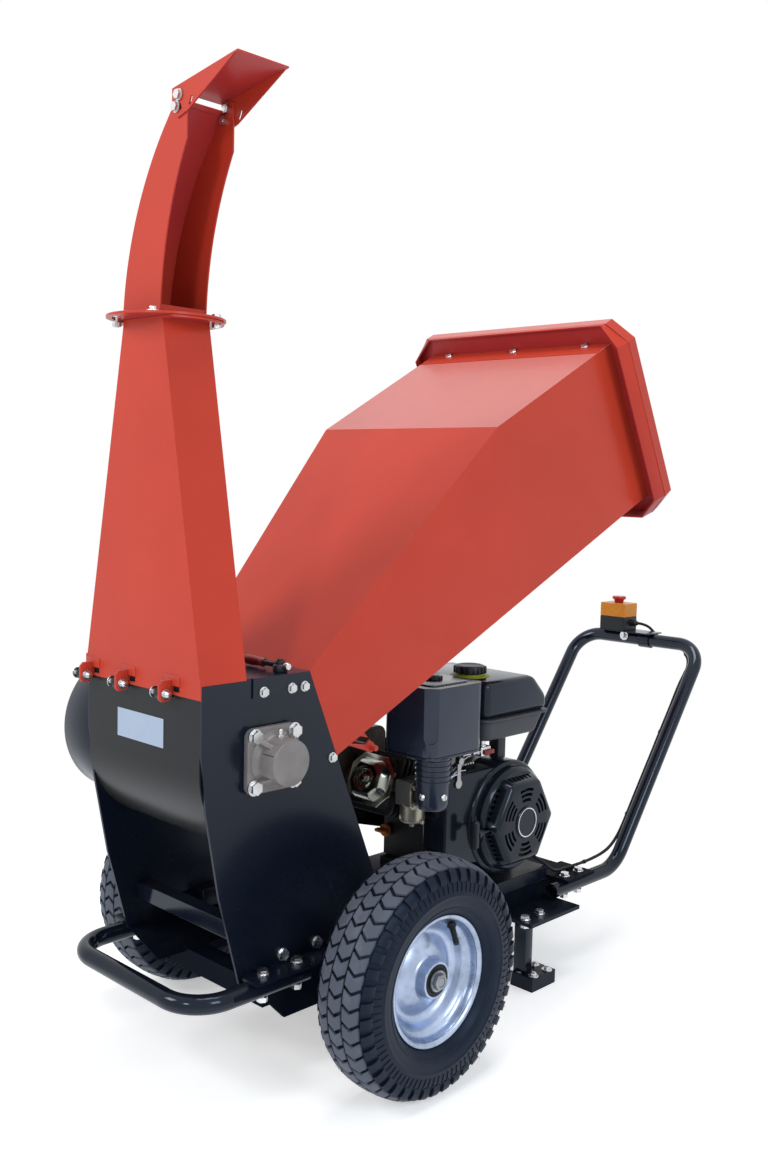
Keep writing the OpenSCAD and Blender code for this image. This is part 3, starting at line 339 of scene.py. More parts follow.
def paint(name, colour, rough, coat=0.0, peel=0.04, dust=0.25, shine=0.25, painted_glare=0.0, painted_shade=0.0):
    """Sprayed paint: faint orange peel, slight cloudiness, thin dust low down and on upper faces.

    The coat is thin near the ground, where splashes dull it. A painted highlight pales the faces that
    look up, and painted shade deepens those that look down.
    """
    f = Finish(name)
    cloud = f.noise(5.0, 4.0, 0.55)
    fine = f.noise(240.0, 2.0, 0.5)
    specks = f.ramp(f.noise(90.0, 3.0, 0.6), 0.62, 0.78)
    facing, height = f.up()
    low = f.ramp(height, 0.45, 0.0)
    settled = f.ramp(facing, 0.35, 1.0) * 0.35 + low * 0.8
    grime = f.ramp(f.noise(14.0, 6.0, 0.65), 0.45, 0.8) * settled * dust
    base = f.blend(f.ramp(cloud, 0.3, 0.7), shade(colour, 0.94), shade(colour, 1.06))
    # Painted highlight: faces that look up are paled towards pink, standing in for glare.
    base = f.blend(f.ramp(facing, 0.72, 0.92) * painted_glare, base, (0.80, 0.62, 0.60, 1.0))
    # Painted shade: faces that look down are deepened towards burgundy.
    base = f.blend(f.ramp(facing, -0.12, -0.42) * painted_shade, base, (0.22, 0.012, 0.024, 1.0))
    base = f.blend(grime, base, (0.10, 0.095, 0.09, 1.0))
    f.set(Base_Color=base, Roughness=rough + grime * 0.4 + specks * 0.05 + (cloud - 0.5) * 0.08,
          Coat_Weight=f.ramp(height, 0.2, 0.75) * coat, Coat_Roughness=0.16,
          Specular_IOR_Level=shine, Specular_Tint=(0.70, 0.85, 1.0, 1.0), Coat_Tint=(0.70, 0.84, 1.0, 1.0),
          Normal=f.bump(fine + cloud * 0.6, peel, 0.0006))
    return f.material


def bare_metal(name, colour, rough, wear=0.25, scale=60.0, bump=0.12):
    """Plated or machined metal with fine scratches and dull spots."""
    f = Finish(name)
    spots = f.noise(scale, 5.0, 0.6)
    fine = f.noise(420.0, 3.0, 0.6)
    base = f.blend(f.ramp(spots, 0.35, 0.75), rgba(colour), shade(colour, 1.0 - wear))
    f.set(Base_Color=base, Metallic=1.0, Roughness=rough + (spots - 0.5) * 0.25 + (fine - 0.5) * 0.1,
          Normal=f.bump(fine, bump, 0.0004))
    return f.material


def galvanised(name, colour):
    """Zinc-dipped pressing: crystal spangle, cloudy tone partly painted highlight, brighter where it looks up
    as painted sky reflection.
    """
    f = Finish(name)
    spangle = f.cells(75.0)
    cloud = f.noise(11.0, 4.0, 0.6)
    facing = f.up()[0]
    # Painted reflection: the cloud and the upward faces lighten the zinc as reflections would; the spangle
    # and part of the cloud are its own tone.
    light = f.ramp(cloud + facing * 0.25 + spangle * 0.12, 0.36, 0.86)
    base = f.blend(light, shade(colour, 0.62), shade(colour, 1.45))
    f.set(Base_Color=base, Metallic=0.92, Roughness=0.26 + (cloud - 0.5) * 0.2 + spangle * 0.06,
          Normal=f.bump(spangle + cloud, 0.12, 0.0005))
    return f.material


def casting(name, colour, rough, metal, grain=0.35):
    """Sand or die casting: grainy skin with darker hollows."""
    f = Finish(name)
    pits = f.noise(190.0, 4.0, 0.6)
    cloud = f.noise(24.0, 4.0, 0.6)
    base = f.blend(f.ramp(cloud, 0.3, 0.75), shade(colour, 1.08), shade(colour, 0.72))
    f.set(Base_Color=base, Metallic=metal, Roughness=rough + (pits - 0.5) * 0.2,
          Normal=f.bump(pits, grain, 0.0007))
    return f.material


def moulded(name, colour, rough, grain=0.1, scale=700.0, coat=0.0):
    """Moulded plastic with a fine spark-eroded grain and slight marks."""
    f = Finish(name)
    skin = f.cells(scale)
    cloud = f.noise(18.0, 4.0, 0.6)
    marks = f.ramp(f.noise(55.0, 5.0, 0.7), 0.6, 0.8)
    base = f.blend(f.ramp(cloud, 0.3, 0.7), shade(colour, 0.93), shade(colour, 1.08))
    f.set(Base_Color=base, Roughness=rough + marks * 0.1 + (cloud - 0.5) * 0.08, Coat_Weight=coat,
          Coat_Roughness=0.2, Specular_IOR_Level=0.32, Specular_Tint=(0.78, 0.89, 1.0, 1.0),
          Normal=f.bump(skin, grain, 0.0003))
    return f.material


def rubber(name, colour, rough, dust=0.3, shaded_grooves=False):
    """Rubber with fine pores and pale dust. On the tread the grooves get painted shade."""
    f = Finish(name)
    pores = f.noise(320.0, 3.0, 0.6)
    cloud = f.noise(22.0, 5.0, 0.65)
    pale = f.ramp(cloud, 0.5, 0.8) * dust
    base = f.blend(pale, rgba(colour), (0.125, 0.135, 0.160, 1.0))
    if shaded_grooves:
        # Painted shade: the grooves darken with their depth below the block tops.
        base = f.blend(f.ramp(f.tread_rise(), 0.0014, 0.0040), shade(colour, 0.10), base)
    f.set(Base_Color=base, Roughness=rough + (cloud - 0.5) * 0.15, Specular_IOR_Level=0.19,
          Specular_Tint=(0.62, 0.80, 1.0, 1.0), Normal=f.bump(pores + cloud * 0.4, 0.2, 0.0005))
    return f.material


# Settings that a user would change

class ShredderLook(bpy.types.PropertyGroup):
    """Colours of the shredder's finishes."""
    red: bpy.props.FloatVectorProperty(
        name="Red paint", description="Hopper, tower and chute paint", subtype="COLOR", size=3,
        default=(0.465, 0.042, 0.021), min=0, max=1)
    black: bpy.props.FloatVectorProperty(
        name="Black paint", description="Frame and side plate paint", subtype="COLOR", size=3,
        default=(0.0042, 0.0064, 0.0138), min=0, max=1)
    drum_grey: bpy.props.FloatVectorProperty(
        name="Drum paint", description="Drum shell paint", subtype="COLOR", size=3,
        default=(0.0155, 0.016, 0.0165), min=0, max=1)
    housing_grey: bpy.props.FloatVectorProperty(
        name="Bearing grey", description="Bearing housing casting", subtype="COLOR", size=3,
        default=(0.178, 0.162, 0.160), min=0, max=1)
    rim_silver: bpy.props.FloatVectorProperty(
        name="Rim silver", description="Wheel rim paint", subtype="COLOR", size=3,
        default=(0.35, 0.42, 0.56), min=0, max=1)
    stop_orange: bpy.props.FloatVectorProperty(
        name="Stop switch lid", description="Orange-yellow lid of the stop switch", subtype="COLOR", size=3,
        default=(0.60, 0.21, 0.004), min=0, max=1)


class ShredderSizes(bpy.types.PropertyGroup):
    """Sizes of the modelled details."""
    tread_depth: bpy.props.FloatProperty(
        name="Tread depth", description="Height of the tyre's tread blocks", default=0.0064, min=0.002,
        max=0.01, unit="LENGTH")
    tread_pitches: bpy.props.IntProperty(
        name="Tread pitches", description="Rows of tread blocks around the tyre", default=44, min=30, max=60)


def look():
    return bpy.context.scene.shredder_look


def sizes():
    return bpy.context.scene.shredder_sizes


class SHREDDER_OT_finishes(bpy.types.Operator):
    """Make every finish and give each CAD piece its own"""
    bl_idname = "shredder.finishes"
    bl_label = "Finishes"

    def execute(self, context):
        c = look()
        made = {
            "red": paint("Red spray paint", c.red, 0.32, 0.06, 0.05, 0.18, shine=0.2, painted_glare=0.22,
                         painted_shade=0.6),
            # Shaded copy of the red paint: a little darker, rougher and without the painted highlight, as
            # painted shade on the mouth strip.
            "red_shaded_matte": paint("Red matte paint, shaded copy", shade(c.red, 0.92)[:3], 0.45, 0.0, 0.05, 0.18, shine=0.1),
            "black": paint("Black plate paint", c.black, 0.27, 0.55, 0.06, 0.1, shine=0.14),
            # Darker copy of the black paint: the lower shine is the frame's finish, and the darker colour is
            # painted shade for the chassis and plate fold.
            "frame": paint("Black frame paint, shaded copy", shade(c.black, 0.8)[:3], 0.42, 0.0, 0.06, 0.1, shine=0.012),
            "tube": paint("Black gloss tube paint", c.black, 0.11, 0.4, 0.05, 0.12, shine=0.30),
            "drum": paint("Dark drum paint", c.drum_grey, 0.34, 0.12, 0.06, 0.25, shine=0.16),
            "rim": galvanised("Galvanised rim", c.rim_silver),
            "plate": bare_metal("Bare aluminium plate", (0.44, 0.54, 0.70), 0.36, 0.06, 30.0, 0.05),
            "dull": bare_metal("Dull zinc", (0.30, 0.32, 0.35), 0.42, 0.35, 80.0),
            "zinc": bare_metal("Bright zinc", (0.72, 0.73, 0.75), 0.27),
            "steel": bare_metal("Machined steel", (0.42, 0.42, 0.43), 0.35),
            "housing": casting("Painted bearing casting", c.housing_grey, 0.42, 0.0, 0.3),
            "iron": casting("Grey cast iron", (0.16, 0.155, 0.15), 0.5, 0.6),
            "alloy": casting("Die cast alloy", (0.22, 0.22, 0.215), 0.42, 0.8),
            "chrome": bare_metal("Pressed bright cover", (0.40, 0.42, 0.37), 0.2, 0.2, 20.0, 0.04),
            "pipe": bare_metal("Heat stained steel", (0.20, 0.17, 0.15), 0.5, 0.5, 30.0, 0.3),
            "shroud": paint("Gloss engine black", (0.0055, 0.0075, 0.0130), 0.14, 0.2, 0.05, 0.15,
                            shine=0.27),
            "plastic": moulded("Black moulded plastic", (0.0135, 0.014, 0.0165), 0.38, 0.12),
            "tank": paint("Tank black enamel", (0.009, 0.012, 0.021), 0.13, 0.25, 0.04, 0.1, shine=0.24),
            "orange": moulded("Orange-yellow plastic", c.stop_orange, 0.35, 0.08, 700.0, 0.1),
            "button": moulded("Red button plastic", (0.46, 0.016, 0.014), 0.28, 0.05, 700.0, 0.2),
            "grip": moulded("Dark red grip plastic", (0.20, 0.012, 0.012), 0.32, 0.06, 700.0, 0.15),
            "dip": moulded("Orange dipstick plastic", (0.50, 0.14, 0.02), 0.4),
            "tyre": rubber("Tyre rubber", (0.0048, 0.0082, 0.0185), 0.44, 0.05),
            "tread": rubber("Tread rubber", (0.066, 0.076, 0.100), 0.56, 0.8, True),
            "rubber": rubber("Black rubber", (0.018, 0.018, 0.018), 0.6, 0.15),
            "cable": rubber("Cable sheath", (0.014, 0.014, 0.015), 0.4, 0.08),
            "airbox": moulded("Satin air cleaner plastic", (0.015, 0.021, 0.040), 0.26, 0.06, 700.0, 0.35),
            "tank_low": moulded("Tank lower half", (0.036, 0.038, 0.044), 0.45, 0.2),
            "case": casting("Dark engine casting", (0.017, 0.018, 0.020), 0.42, 0.25),
            "lime": moulded("Lime filler ring", (0.40, 0.46, 0.02), 0.45, 0.05),
            "carb": casting("Cast carburettor alloy", (0.36, 0.34, 0.28), 0.38, 0.9, 0.2),
            "pipe_blue": bare_metal("Blued pipe", (0.20, 0.26, 0.36), 0.32, 0.2),
        }
        FINISHES.update(made)
        wanted = {
            "tube": "front_bumper push_handle",
            "black": "chassis leg_left leg_right engine_deck estop_bracket "
                     "side_plate_left side_plate_right cross_bar top_cover belt_guard",
            "drum": "drum_shell",
            "red": "hopper_body hopper_lip hopper_stay tower chute deflector",
            "zinc": "axle axle_nuts swivel_bolts chute_bolts bolts_m12 bolts_m10 bolts_m8 hinge_bolts",
            "steel": "counter_knife rotor_knives throttle_lever",
            "housing": "bearing_left bearing_right",
            "iron": "rotor_drum rotor_pulley crank_pulley",
            "plate": "nameplate",
            "rubber": "drive_belts hopper_curtain",
            "cable": "estop_cable",
            "tyre": "tyre_left tyre_right",
            "rim": "rim_left rim_right",
            "shroud": "fan_shroud recoil_cover",
            "tank": "fuel_tank",
            "alloy": "engine_block cylinder_head carburetor",
            "chrome": "valve_cover",
            "plastic": "estop_base recoil_grip air_cleaner fuel_cap",
            "orange": "estop_lid",
            "dip": "dipstick",
            "button": "estop_button",
            "grip": "latch_lever",
            "pipe": "muffler",
        }
        for key, names in wanted.items():
            for name in names.split():
                mesh = NODES[name].data
                mesh.materials.clear()
                mesh.materials.append(made[key])
        return {"FINISHED"}


def turned(piece, angle, axis, centre):
    """Turn a piece by degrees about an axis through a centre in millimetres, and apply it."""
    place = Matrix.Translation(Vector(centre) * MM)
    turn = Matrix.Rotation(math.radians(angle), 4, Vector(AXES[axis]))
    piece.matrix_world = place @ turn @ place.inverted()
    return place_applied(piece)


def twin_of(piece, name):
    """A copy of a piece with its own mesh."""
    twin = piece.copy()
    twin.data = piece.data.copy()
    twin.name = name
    bpy.context.scene.collection.objects.link(twin)
    return twin


def around(piece, copies, centre, axis):
    """Copy everything in a piece's mesh evenly round an axis, centre in millimetres."""
    to_edit(piece)
    bpy.ops.mesh.spin(steps=copies - 1, dupli=True, angle=2 * math.pi * (copies - 1) / copies,
                      center=Vector(centre) * MM, axis=AXES[axis])
    deselect()
    return piece


WHEEL_X, AXLE_Z = 319.0, 203.0
# How fast the tread falls away from the tyre's middle, per metre
CROWN_DROP = 4.5
CROWN = ((0, 196.6), (10, 196.4), (22, 195.4), (33, 193.4), (41.5, 190.0), (48.5, 184.0))


def crown(t):
    """Radius of the tyre's groove floor at a distance from its middle plane."""
    t = abs(t)
    for (a, ra), (b, rb) in zip(CROWN, CROWN[1:]):
        if t <= b:
            return ra + (rb - ra) * (t - a) / (b - a)
    return CROWN[-1][1]


def tread_block(middle, width, length, point, shift, depth):
    """One arrow-shaped tread block at the top of the tyre."""
    deselect()
    bpy.ops.mesh.primitive_grid_add(x_subdivisions=2, y_subdivisions=1, size=2)
    piece = bpy.context.object
    for vertex in piece.data.vertices:
        t = middle + vertex.co.x * width / 2
        along = shift + vertex.co.y * length / 2 - point * (1 - abs(vertex.co.x))
        r = crown(t) - 2.0
        vertex.co = Vector((WHEEL_X + t, r * math.sin(along / r), AXLE_Z + r * math.cos(along / r))) * MM
    to_edit(piece)
    bpy.ops.mesh.extrude_region_move(TRANSFORM_OT_translate={"value": (0, 0, (depth + 1.2) * MM)})
    bpy.ops.mesh.inset(thickness=0.9 * MM, depth=0.8 * MM)
    bpy.ops.mesh.select_all(action="SELECT")
    bpy.ops.mesh.normals_make_consistent(inside=False)
    deselect()
    return piece


SHOULDER = ((45.4, 187.0, 0.55, 1.0), (49.0, 183.4, 0.72, 0.9), (52.6, 177.0, 0.86, 0.62),
            (54.6, 171.5, 0.95, 0.12))
SIDE_RIB = ((54.2, 172.6, 0.94, 1.0), (56.6, 165.4, 0.98, 1.0), (58.4, 156.0, 1.0, 0.6))


def shoulder_block(line, side, width, shift, depth):
    """One bar that runs down the tyre's shoulder along a line of (distance, radius, lean, height share)."""
    deselect()
    steps = len(line) - 1
    bpy.ops.mesh.primitive_grid_add(x_subdivisions=steps, y_subdivisions=1, size=2)
    piece = bpy.context.object
    outward = {}
    for vertex in piece.data.vertices:
        t, r, lean, share = line[round((vertex.co.x + 1) / 2 * steps)]
        along = shift + vertex.co.y * width / 2 * (1.0 - 0.12 * lean)
        at = r - 1.5
        vertex.co = Vector((WHEEL_X + side * (t - 0.8), at * math.sin(along / at),
                            AXLE_Z + at * math.cos(along / at))) * MM
        away = Vector((side * lean, 0, math.sqrt(1 - lean * lean)))
        outward[vertex.co.to_tuple(6)] = away * (depth * share + 1.6) * MM
    to_edit(piece)
    bpy.ops.mesh.extrude_region_move(TRANSFORM_OT_translate={"value": (0, 0, 0)})
    bpy.ops.object.mode_set(mode="OBJECT")
    for vertex in piece.data.vertices:
        if vertex.select:
            vertex.co += outward[vertex.co.to_tuple(6)]
    to_edit(piece)
    bpy.ops.mesh.normals_make_consistent(inside=False)
    deselect()
    return piece


class SHREDDER_OT_wheels(bpy.types.Operator):
    """Model the tyres with their tread, the dished rims, hub seals and valves"""
    bl_idname = "shredder.wheels"
    bl_label = "Wheels"

    def execute(self, context):
        depth = sizes().tread_depth / MM
        rows = sizes().tread_pitches
        pitch = 2 * math.pi * 200 / rows
        centre = (WHEEL_X, 0, AXLE_Z)
        half = ((101.8, 38.8), (107, 39.2), (111.8, 39.6), (113.2, 42.2), (116.5, 46.2), (121.0, 50.4),
                (124.0, 52.6), (124.8, 54.2), (126.6, 54.9), (127.8, 54.2), (132.5, 56.6), (140.0, 58.1),
                (146.0, 58.7), (147.0, 59.4), (148.6, 59.4), (149.6, 58.8), (155.0, 58.5), (166.0, 56.5),
                (175.0, 53.4), (184.0, 48.5), (190.0, 41.5), (193.4, 33.0), (195.4, 22.0), (196.4, 10.0))
        inner = ((101.8, 30.0), (112.0, 31.0), (130.0, 47.0), (150.0, 49.5), (170.0, 45.0), (182.0, 32.0),
                 (186.0, 12.0))
        loop = list(half) + [(r, -x) for r, x in reversed(half)] + [(r, -x) for r, x in inner]
        loop += [(r, x) for r, x in reversed(inner)]
        carcass = lathe("tyre_right_rubber", loop + [loop[0]], centre, "X", 96)
        blocks = []
        for i, middle in enumerate((-31.0, 0.0, 31.0)):
            lug = tread_block(middle, 27.6, pitch * 0.77, 9.0, pitch * 0.5 * (i % 2), depth)
            blocks.append(around(lug, rows, centre, "X"))
        parts = [carcass]
        for side in (-1, 1):
            bar = shoulder_block(SHOULDER, side, pitch * 0.60, pitch * 0.5, depth)
            parts.append(around(bar, rows, centre, "X"))
        tread = join("tyre_right_tread", blocks)
        for side in (-1, 1):
            rib = shoulder_block(SIDE_RIB, side, 2.4, 0.0, 0.9)
            parts.append(around(rib, 2 * rows, centre, "X"))
        for t, turn in ((-52, 3), (-34.7, 11), (34.7, 7), (47, 18), (52.5, 1), (11.7, 14)):
            deselect()
            bpy.ops.mesh.primitive_cone_add(vertices=4, radius1=0.5 * MM, radius2=0.15 * MM, depth=7 * MM,
                                            location=Vector((WHEEL_X + t, 0, AXLE_Z + crown(t) + 4)) * MM)
            hair = place_applied(context.object)
            hair = turned(hair, 0.42 * t, "Y", (WHEEL_X + t, 0, AXLE_Z + crown(t)))
            hair = turned(hair, turn, "X", centre)
            parts.append(around(hair, 12, centre, "X"))
        tyre = join("tyre_right_rubber", parts)

        dish = ((111.4, 42.0), (110.6, 43.0), (108.6, 43.4), (105.6, 42.6), (103.2, 40.6), (101.2, 37.0),
                (100.0, 31.0), (98.8, 26.5), (96.8, 23.8), (92.6, 22.2), (89.6, 20.0), (86.8, 15.0),
                (83.0, 7.0), (79.4, 2.2), (74.6, -0.6), (69.6, -0.8), (65.6, 1.2), (60.0, 5.6),
                (52.0, 10.6), (44.0, 13.8), (38.4, 15.2), (34.8, 17.0), (33.0, 20.0), (32.2, 26.0),
                (31.8, 35.6), (31.0, 37.4), (29.4, 38.0), (27.6, 37.8), (26.6, 36.6), (26.4, 33.0),
                (26.4, -33.0), (29.0, -35.0), (31.4, -33.0), (31.8, 9.0), (38.0, 10.8), (44.0, 9.6),
                (52.0, 6.4), (60.0, 1.6), (66.0, -2.8), (72.0, -4.6), (78.0, -3.6), (83.0, 0.0),
                (88.0, -6.0), (89.4, -14.0), (92.0, -20.0), (97.0, -24.0), (99.0, -30.0), (101.0, -37.0),
                (104.6, -41.6), (108.6, -43.4), (111.4, -42.4), (111.2, -40.6), (106.4, -40.0),
                (103.0, -38.0), (101.4, -33.0), (101.4, 33.0), (103.0, 38.0), (106.4, 40.2))
        rim = lathe("rim_right_dish", list(dish) + [dish[0]], centre, "X", 96)
        seal_line = ((13.0, 36.2), (15.6, 36.6), (16.4, 35.4), (20.4, 35.4), (21.4, 36.8), (24.8, 37.0),
                     (26.2, 35.8), (26.2, -33.0), (13.0, -33.0))
        seal = lathe("hub_seal_right", list(seal_line) + [seal_line[0]], centre, "X", 48)
        stem_line = ((0, 0.0), (7.6, 0.0), (8.4, 1.4), (7.8, 3.2), (5.9, 5.0), (5.2, 9.0), (4.9, 22.0),
                     (4.4, 23.0), (4.4, 25.0), (5.0, 25.6), (5.0, 35.0), (4.2, 36.6), (0, 36.8))
        foot = (WHEEL_X + 23.5, 0, AXLE_Z + 93.5)
        stem = turned(lathe("valve_right", stem_line, foot, "X", 20), 48, "Y", foot)
        stem = turned(stem, -32, "X", centre)
        for piece, finish_name, cad, slot in ((tyre, "tyre", "tyre", "tyre"),
                                              (tread, "tread", None, "tyre"),
                                              (rim, "rim", "rim", "rim_silver"),
                                              (seal, "rubber", None, "rubber"),
                                              (stem, "rubber", None, "rubber")):
            other = turned(twin_of(piece, piece.name.replace("right", "left")), 180, "Z", (0, 0, 0))
            for one, side in ((piece, "right"), (other, "left")):
                dress(one, "wheel_" + side, finish_name, ["%s_%s" % (cad, side)] if cad else (), 40)
        return {"FINISHED"}


def rounded_outline(a, b, width, height, radius, steps=5):
    """Points of a rectangle with round corners about a middle point."""
    points = []
    for corner, (sa, sb) in enumerate(((1, 1), (-1, 1), (-1, -1), (1, -1))):
        for i in range(steps + 1):
            turn = math.radians(90 * corner + 90 * i / steps)
            points.append((a + sa * (width / 2 - radius) + radius * math.cos(turn),
                           b + sb * (height / 2 - radius) + radius * math.sin(turn)))
    return points


def octagon(a, b, c):
    """Points of a rectangle of half sizes a and b, with its corners cut off by c."""
    return ((a, -b + c), (a, b - c), (a - c, b), (-a + c, b), (-a, b - c), (-a, -b + c), (-a + c, -b),
            (a - c, -b))


def eased(node, finish_name, width=0.9, fold=30, front=None, tool=None):
    """Stand a copy of a CAD piece in its place, with its edges rounded from a fold angle on.

    A tool is cut out of the copy first, and what lies before a front plane is cut off last.
    """
    source = NODES[node]
    piece = bpy.data.objects.new(node + "_eased", source.data.copy())
    bpy.context.scene.collection.objects.link(piece)
    to_edit(piece)
    bpy.ops.mesh.remove_doubles(threshold=1e-5)
    bpy.ops.mesh.dissolve_limited(angle_limit=math.radians(1))
    deselect()
    if tool is not None:
        cut(piece, tool)
    soften(piece, width, 2, fold)
    if front is not None:
        to_edit(piece)
        bpy.ops.mesh.bisect(plane_co=(0, front * MM, 0), plane_no=(0, 1, 0), clear_inner=True, use_fill=True)
        deselect()
    dress(piece, source["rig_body"], finish_name, [node], max(fold, 20))
    choose(piece)
    shading = piece.modifiers.new("shading", "WEIGHTED_NORMAL")
    shading.keep_sharp = True
    bpy.ops.object.modifier_apply(modifier=shading.name)
    return piece


LEG_PAD_TOP, LEG_PLATE_LOW = 28.0, 142.0
HINGE = (-362.0, 690.0)
HINGE_SPOTS = (-146, -38, 84)
TOWER_FRONT = -349.45
MOUTH_TOP, MOUTH_LEAN = (611.1, 1321.5), 28.4
CAP_SPOT = (79, 393)
LATCH_SPOT = (138, -168, 713.4)
GUARD_FRONT, GUARD_REAR = 132.0, 92.0


def wire(name, points, radius, sides=3):
    """Round wire or pipe on a smooth line through points, in millimetres."""
    deselect()
    bpy.ops.curve.primitive_bezier_curve_add(location=(0, 0, 0))
    piece = bpy.context.object
    spline = piece.data.splines[0]
    spline.bezier_points.add(len(points) - 2)
    for spot, p in zip(spline.bezier_points, points):
        spot.handle_left_type = spot.handle_right_type = "AUTO"
        spot.co = Vector(p) * MM
    piece.data.resolution_u = 6
    piece.data.bevel_depth = radius * MM
    piece.data.bevel_resolution = sides
    piece.data.use_fill_caps = True
    choose(piece)
    bpy.ops.object.convert(target="MESH")
    piece = bpy.context.object
    piece.name = name
    to_edit(piece)
    bpy.ops.mesh.remove_doubles(threshold=1e-6)
    bpy.ops.mesh.normals_make_consistent(inside=False)
    deselect()
    return piece


def hex_bolt(name, spot, axis, across, height, back=False):
    """Hexagon bolt head with a washer, seated at a spot and pointing along an axis, or back along X or Y."""
    washer = lathe(name, ((0, 0), (across * 0.98, 0), (across, 0.5), (across * 0.98, 1.8), (0, 1.8)),
                   spot, axis, 32)
    seat = [s + (1.6 if axis == a else 0) for s, a in zip(spot, "XYZ")]
    head = rod(name, seat, axis, across * 0.577, height, 6)
    soften(head, 0.7, 2, 40)
    bolt = join(name, [washer, head])
    return turned(bolt, 180, "Z", spot) if back else bolt


class SHREDDER_OT_sheet_metal(bpy.types.Operator):
    """Round the edges of the sheet metal, tube, plate and cast pieces and model the leg posts"""
    bl_idname = "shredder.sheet_metal"
    bl_label = "Sheet metal"

    def execute(self, context):
        plan = (
            ("red", "red_paint", 1.0, 8, "hopper_body hopper_lip tower deflector"),
            ("red", "red_paint", 1.0, 20, "hopper_stay chute"),
            ("frame", "frame_paint", 0.9, 25, "chassis"),
            ("black", "frame_paint", 0.9, 25, "engine_deck side_plate_left side_plate_right top_cover "
                                              "estop_bracket"),
            ("tube", "frame_paint", 0.9, 25, "cross_bar"),
            ("drum", "shell_paint", 0.8, 25, "drum_shell"),
            ("plastic", "black_plastic", 1.6, 30, "estop_base"),
            ("orange", "orange_plastic", 1.6, 30, "estop_lid"),
            ("plate", "nameplate", 0.3, 30, "nameplate"),
            ("case", "engine_alloy", 1.6, 30, "engine_block cylinder_head"),
            ("alloy", "engine_alloy", 1.2, 30, "carburetor"),
            ("pipe", "muffler_steel", 3.0, 30, "muffler"),
            ("rubber", "rubber", 0.5, 30, "drive_belts"),
        )
        for finish_name, slot, width, fold, names in plan:
            for name in names.split():
                eased(name, finish_name, width, fold, TOWER_FRONT if name == "tower" else None)
        channel = ((168, 455), (198, 455), (198, 478), (194.4, 478), (194.4, 459), (171.6, 459),
                   (171.6, 478), (168, 478))
        for side, x in (("left", -196), ("right", 196)):
            gap = block("leg_gap", (x - 40, 430, LEG_PAD_TOP + 0.3), (x + 40, 560, LEG_PLATE_LOW - 0.3))
            eased("leg_" + side, "black", 0.9, 25, None, gap)
            line = [(math.copysign(a, x), b) for a, b in channel]
            post = prism("leg_post_" + side, line, "Z", LEG_PAD_TOP - 0.4, LEG_PLATE_LOW + 0.4)
            dress(soften(post, 0.7, 2, 40), NODES["leg_" + side]["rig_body"], "tube")
        return {"FINISHED"}


ROTOR, CRANK = (-209.0, 579.0), (450.0, 348.0)
CYLINDER_X, CYLINDER_LEAN = -8.0, 70.0


def arc_points(centre, radius, start, end, steps):
    """Points on an arc between two angles in degrees."""
    return [(centre[0] + radius * math.cos(math.radians(start + (end - start) * i / steps)),
             centre[1] + radius * math.sin(math.radians(start + (end - start) * i / steps)))
            for i in range(steps + 1)]


class SHREDDER_OT_belt_guard(bpy.types.Operator):
    """Model the belt guard's shell and its screws"""
    bl_idname = "shredder.belt_guard"
    bl_label = "Belt guard"

    def execute(self, context):
        turn = math.degrees(math.atan2(CRANK[1] - ROTOR[1], CRANK[0] - ROTOR[0]))
        spread = math.degrees(math.acos((GUARD_FRONT - GUARD_REAR) / math.dist(ROTOR, CRANK)))

        def outline(inset):
            return (arc_points(ROTOR, GUARD_FRONT - inset, turn + spread, turn - spread + 360, 48)
                    + arc_points(CRANK, GUARD_REAR - inset, turn - spread, turn + spread, 36))

        shell = prism("belt_guard_shell", outline(0.0), "X", -250, -162)
        cut(shell, prism("guard_hollow", outline(2.5), "X", -247.5, -150))
        cut(shell, block("guard_gap", (-176, -112, 590), (-150, 90, 760)))
        soften(shell, 0.9, 2, 25)
        dress(shell, NODES["belt_guard"]["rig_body"], "black", ["belt_guard"], 25)
        screws = []
        for centre, radius, angle in ((ROTOR, 116, 100), (ROTOR, 116, 225), (CRANK, 76, -20), (CRANK, 76, 70),
                                      (CRANK, 76, 250)):
            spot = (-249.6, *arc_points(centre, radius, angle, angle, 1)[0])
            screws.append(hex_bolt("guard_screw", spot, "X", 10, 5, True))
        dress(join("belt_guard_screws", screws), NODES["belt_guard"]["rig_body"], "zinc")
        return {"FINISHED"}


class SHREDDER_OT_bearing(bpy.types.Operator):
    """Model the right bearing housing with ribs, cap and grease nipple"""
    bl_idname = "shredder.bearing"
    bl_label = "Bearing housing"

    def execute(self, context):
        y, z = ROTOR
        centre = (174.0, y, z)
        flange = prism("bearing_flange", rounded_outline(y, z, 108, 108, 15), "X", 162, 174)
        soften(flange, 2.4, 3, 40)
        line = ((0, -2.0), (48.0, -2.0), (47.2, 1.2), (43.6, 3.2), (40.4, 6.5), (38.7, 11.0), (38.5, 41.0),
                (37.9, 43.6), (36.0, 45.0), (0, 45.0))
        boss = lathe("bearing_boss", line, centre, "X", 72)
        groove = block("groove", (188, y - 48, z - 0.9), (214, y - 36.6, z + 0.9))
        cut(boss, turned(groove, -24, "X", centre))
        flat = block("flat", (206, y + 36.4, z - 8), (226, y + 48, z + 8))
        cut(boss, turned(flat, -38, "X", centre))
        rib = prism("bearing_rib", ((172, z + 34), (209, z + 34), (198, z + 41), (181, z + 50), (176, z + 60),
                                    (172, z + 60)), "Y", y - 4, y + 4)
        soften(rib, 1.6, 2, 30)
        rib = turned(rib, 45, "X", centre)
        around(rib, 4, centre, "X")
        housing = join("bearing_housing_right", [flange, boss, rib])
        dress(housing, "frame", "housing", ["bearing_right"], 40)
        nipple = lathe("grease_nipple", ((0, -2), (5.6, -2), (5.6, 4), (3.4, 4.8), (3.2, 8), (4.3, 9.4),
                                         (4.3, 11), (2.4, 13.4), (0, 13.8)), (189, y, z + 38.5), "Z", 16)
        dress(nipple, "frame", "zinc")
        eased("bearing_left", "housing", 1.6)
        return {"FINISHED"}


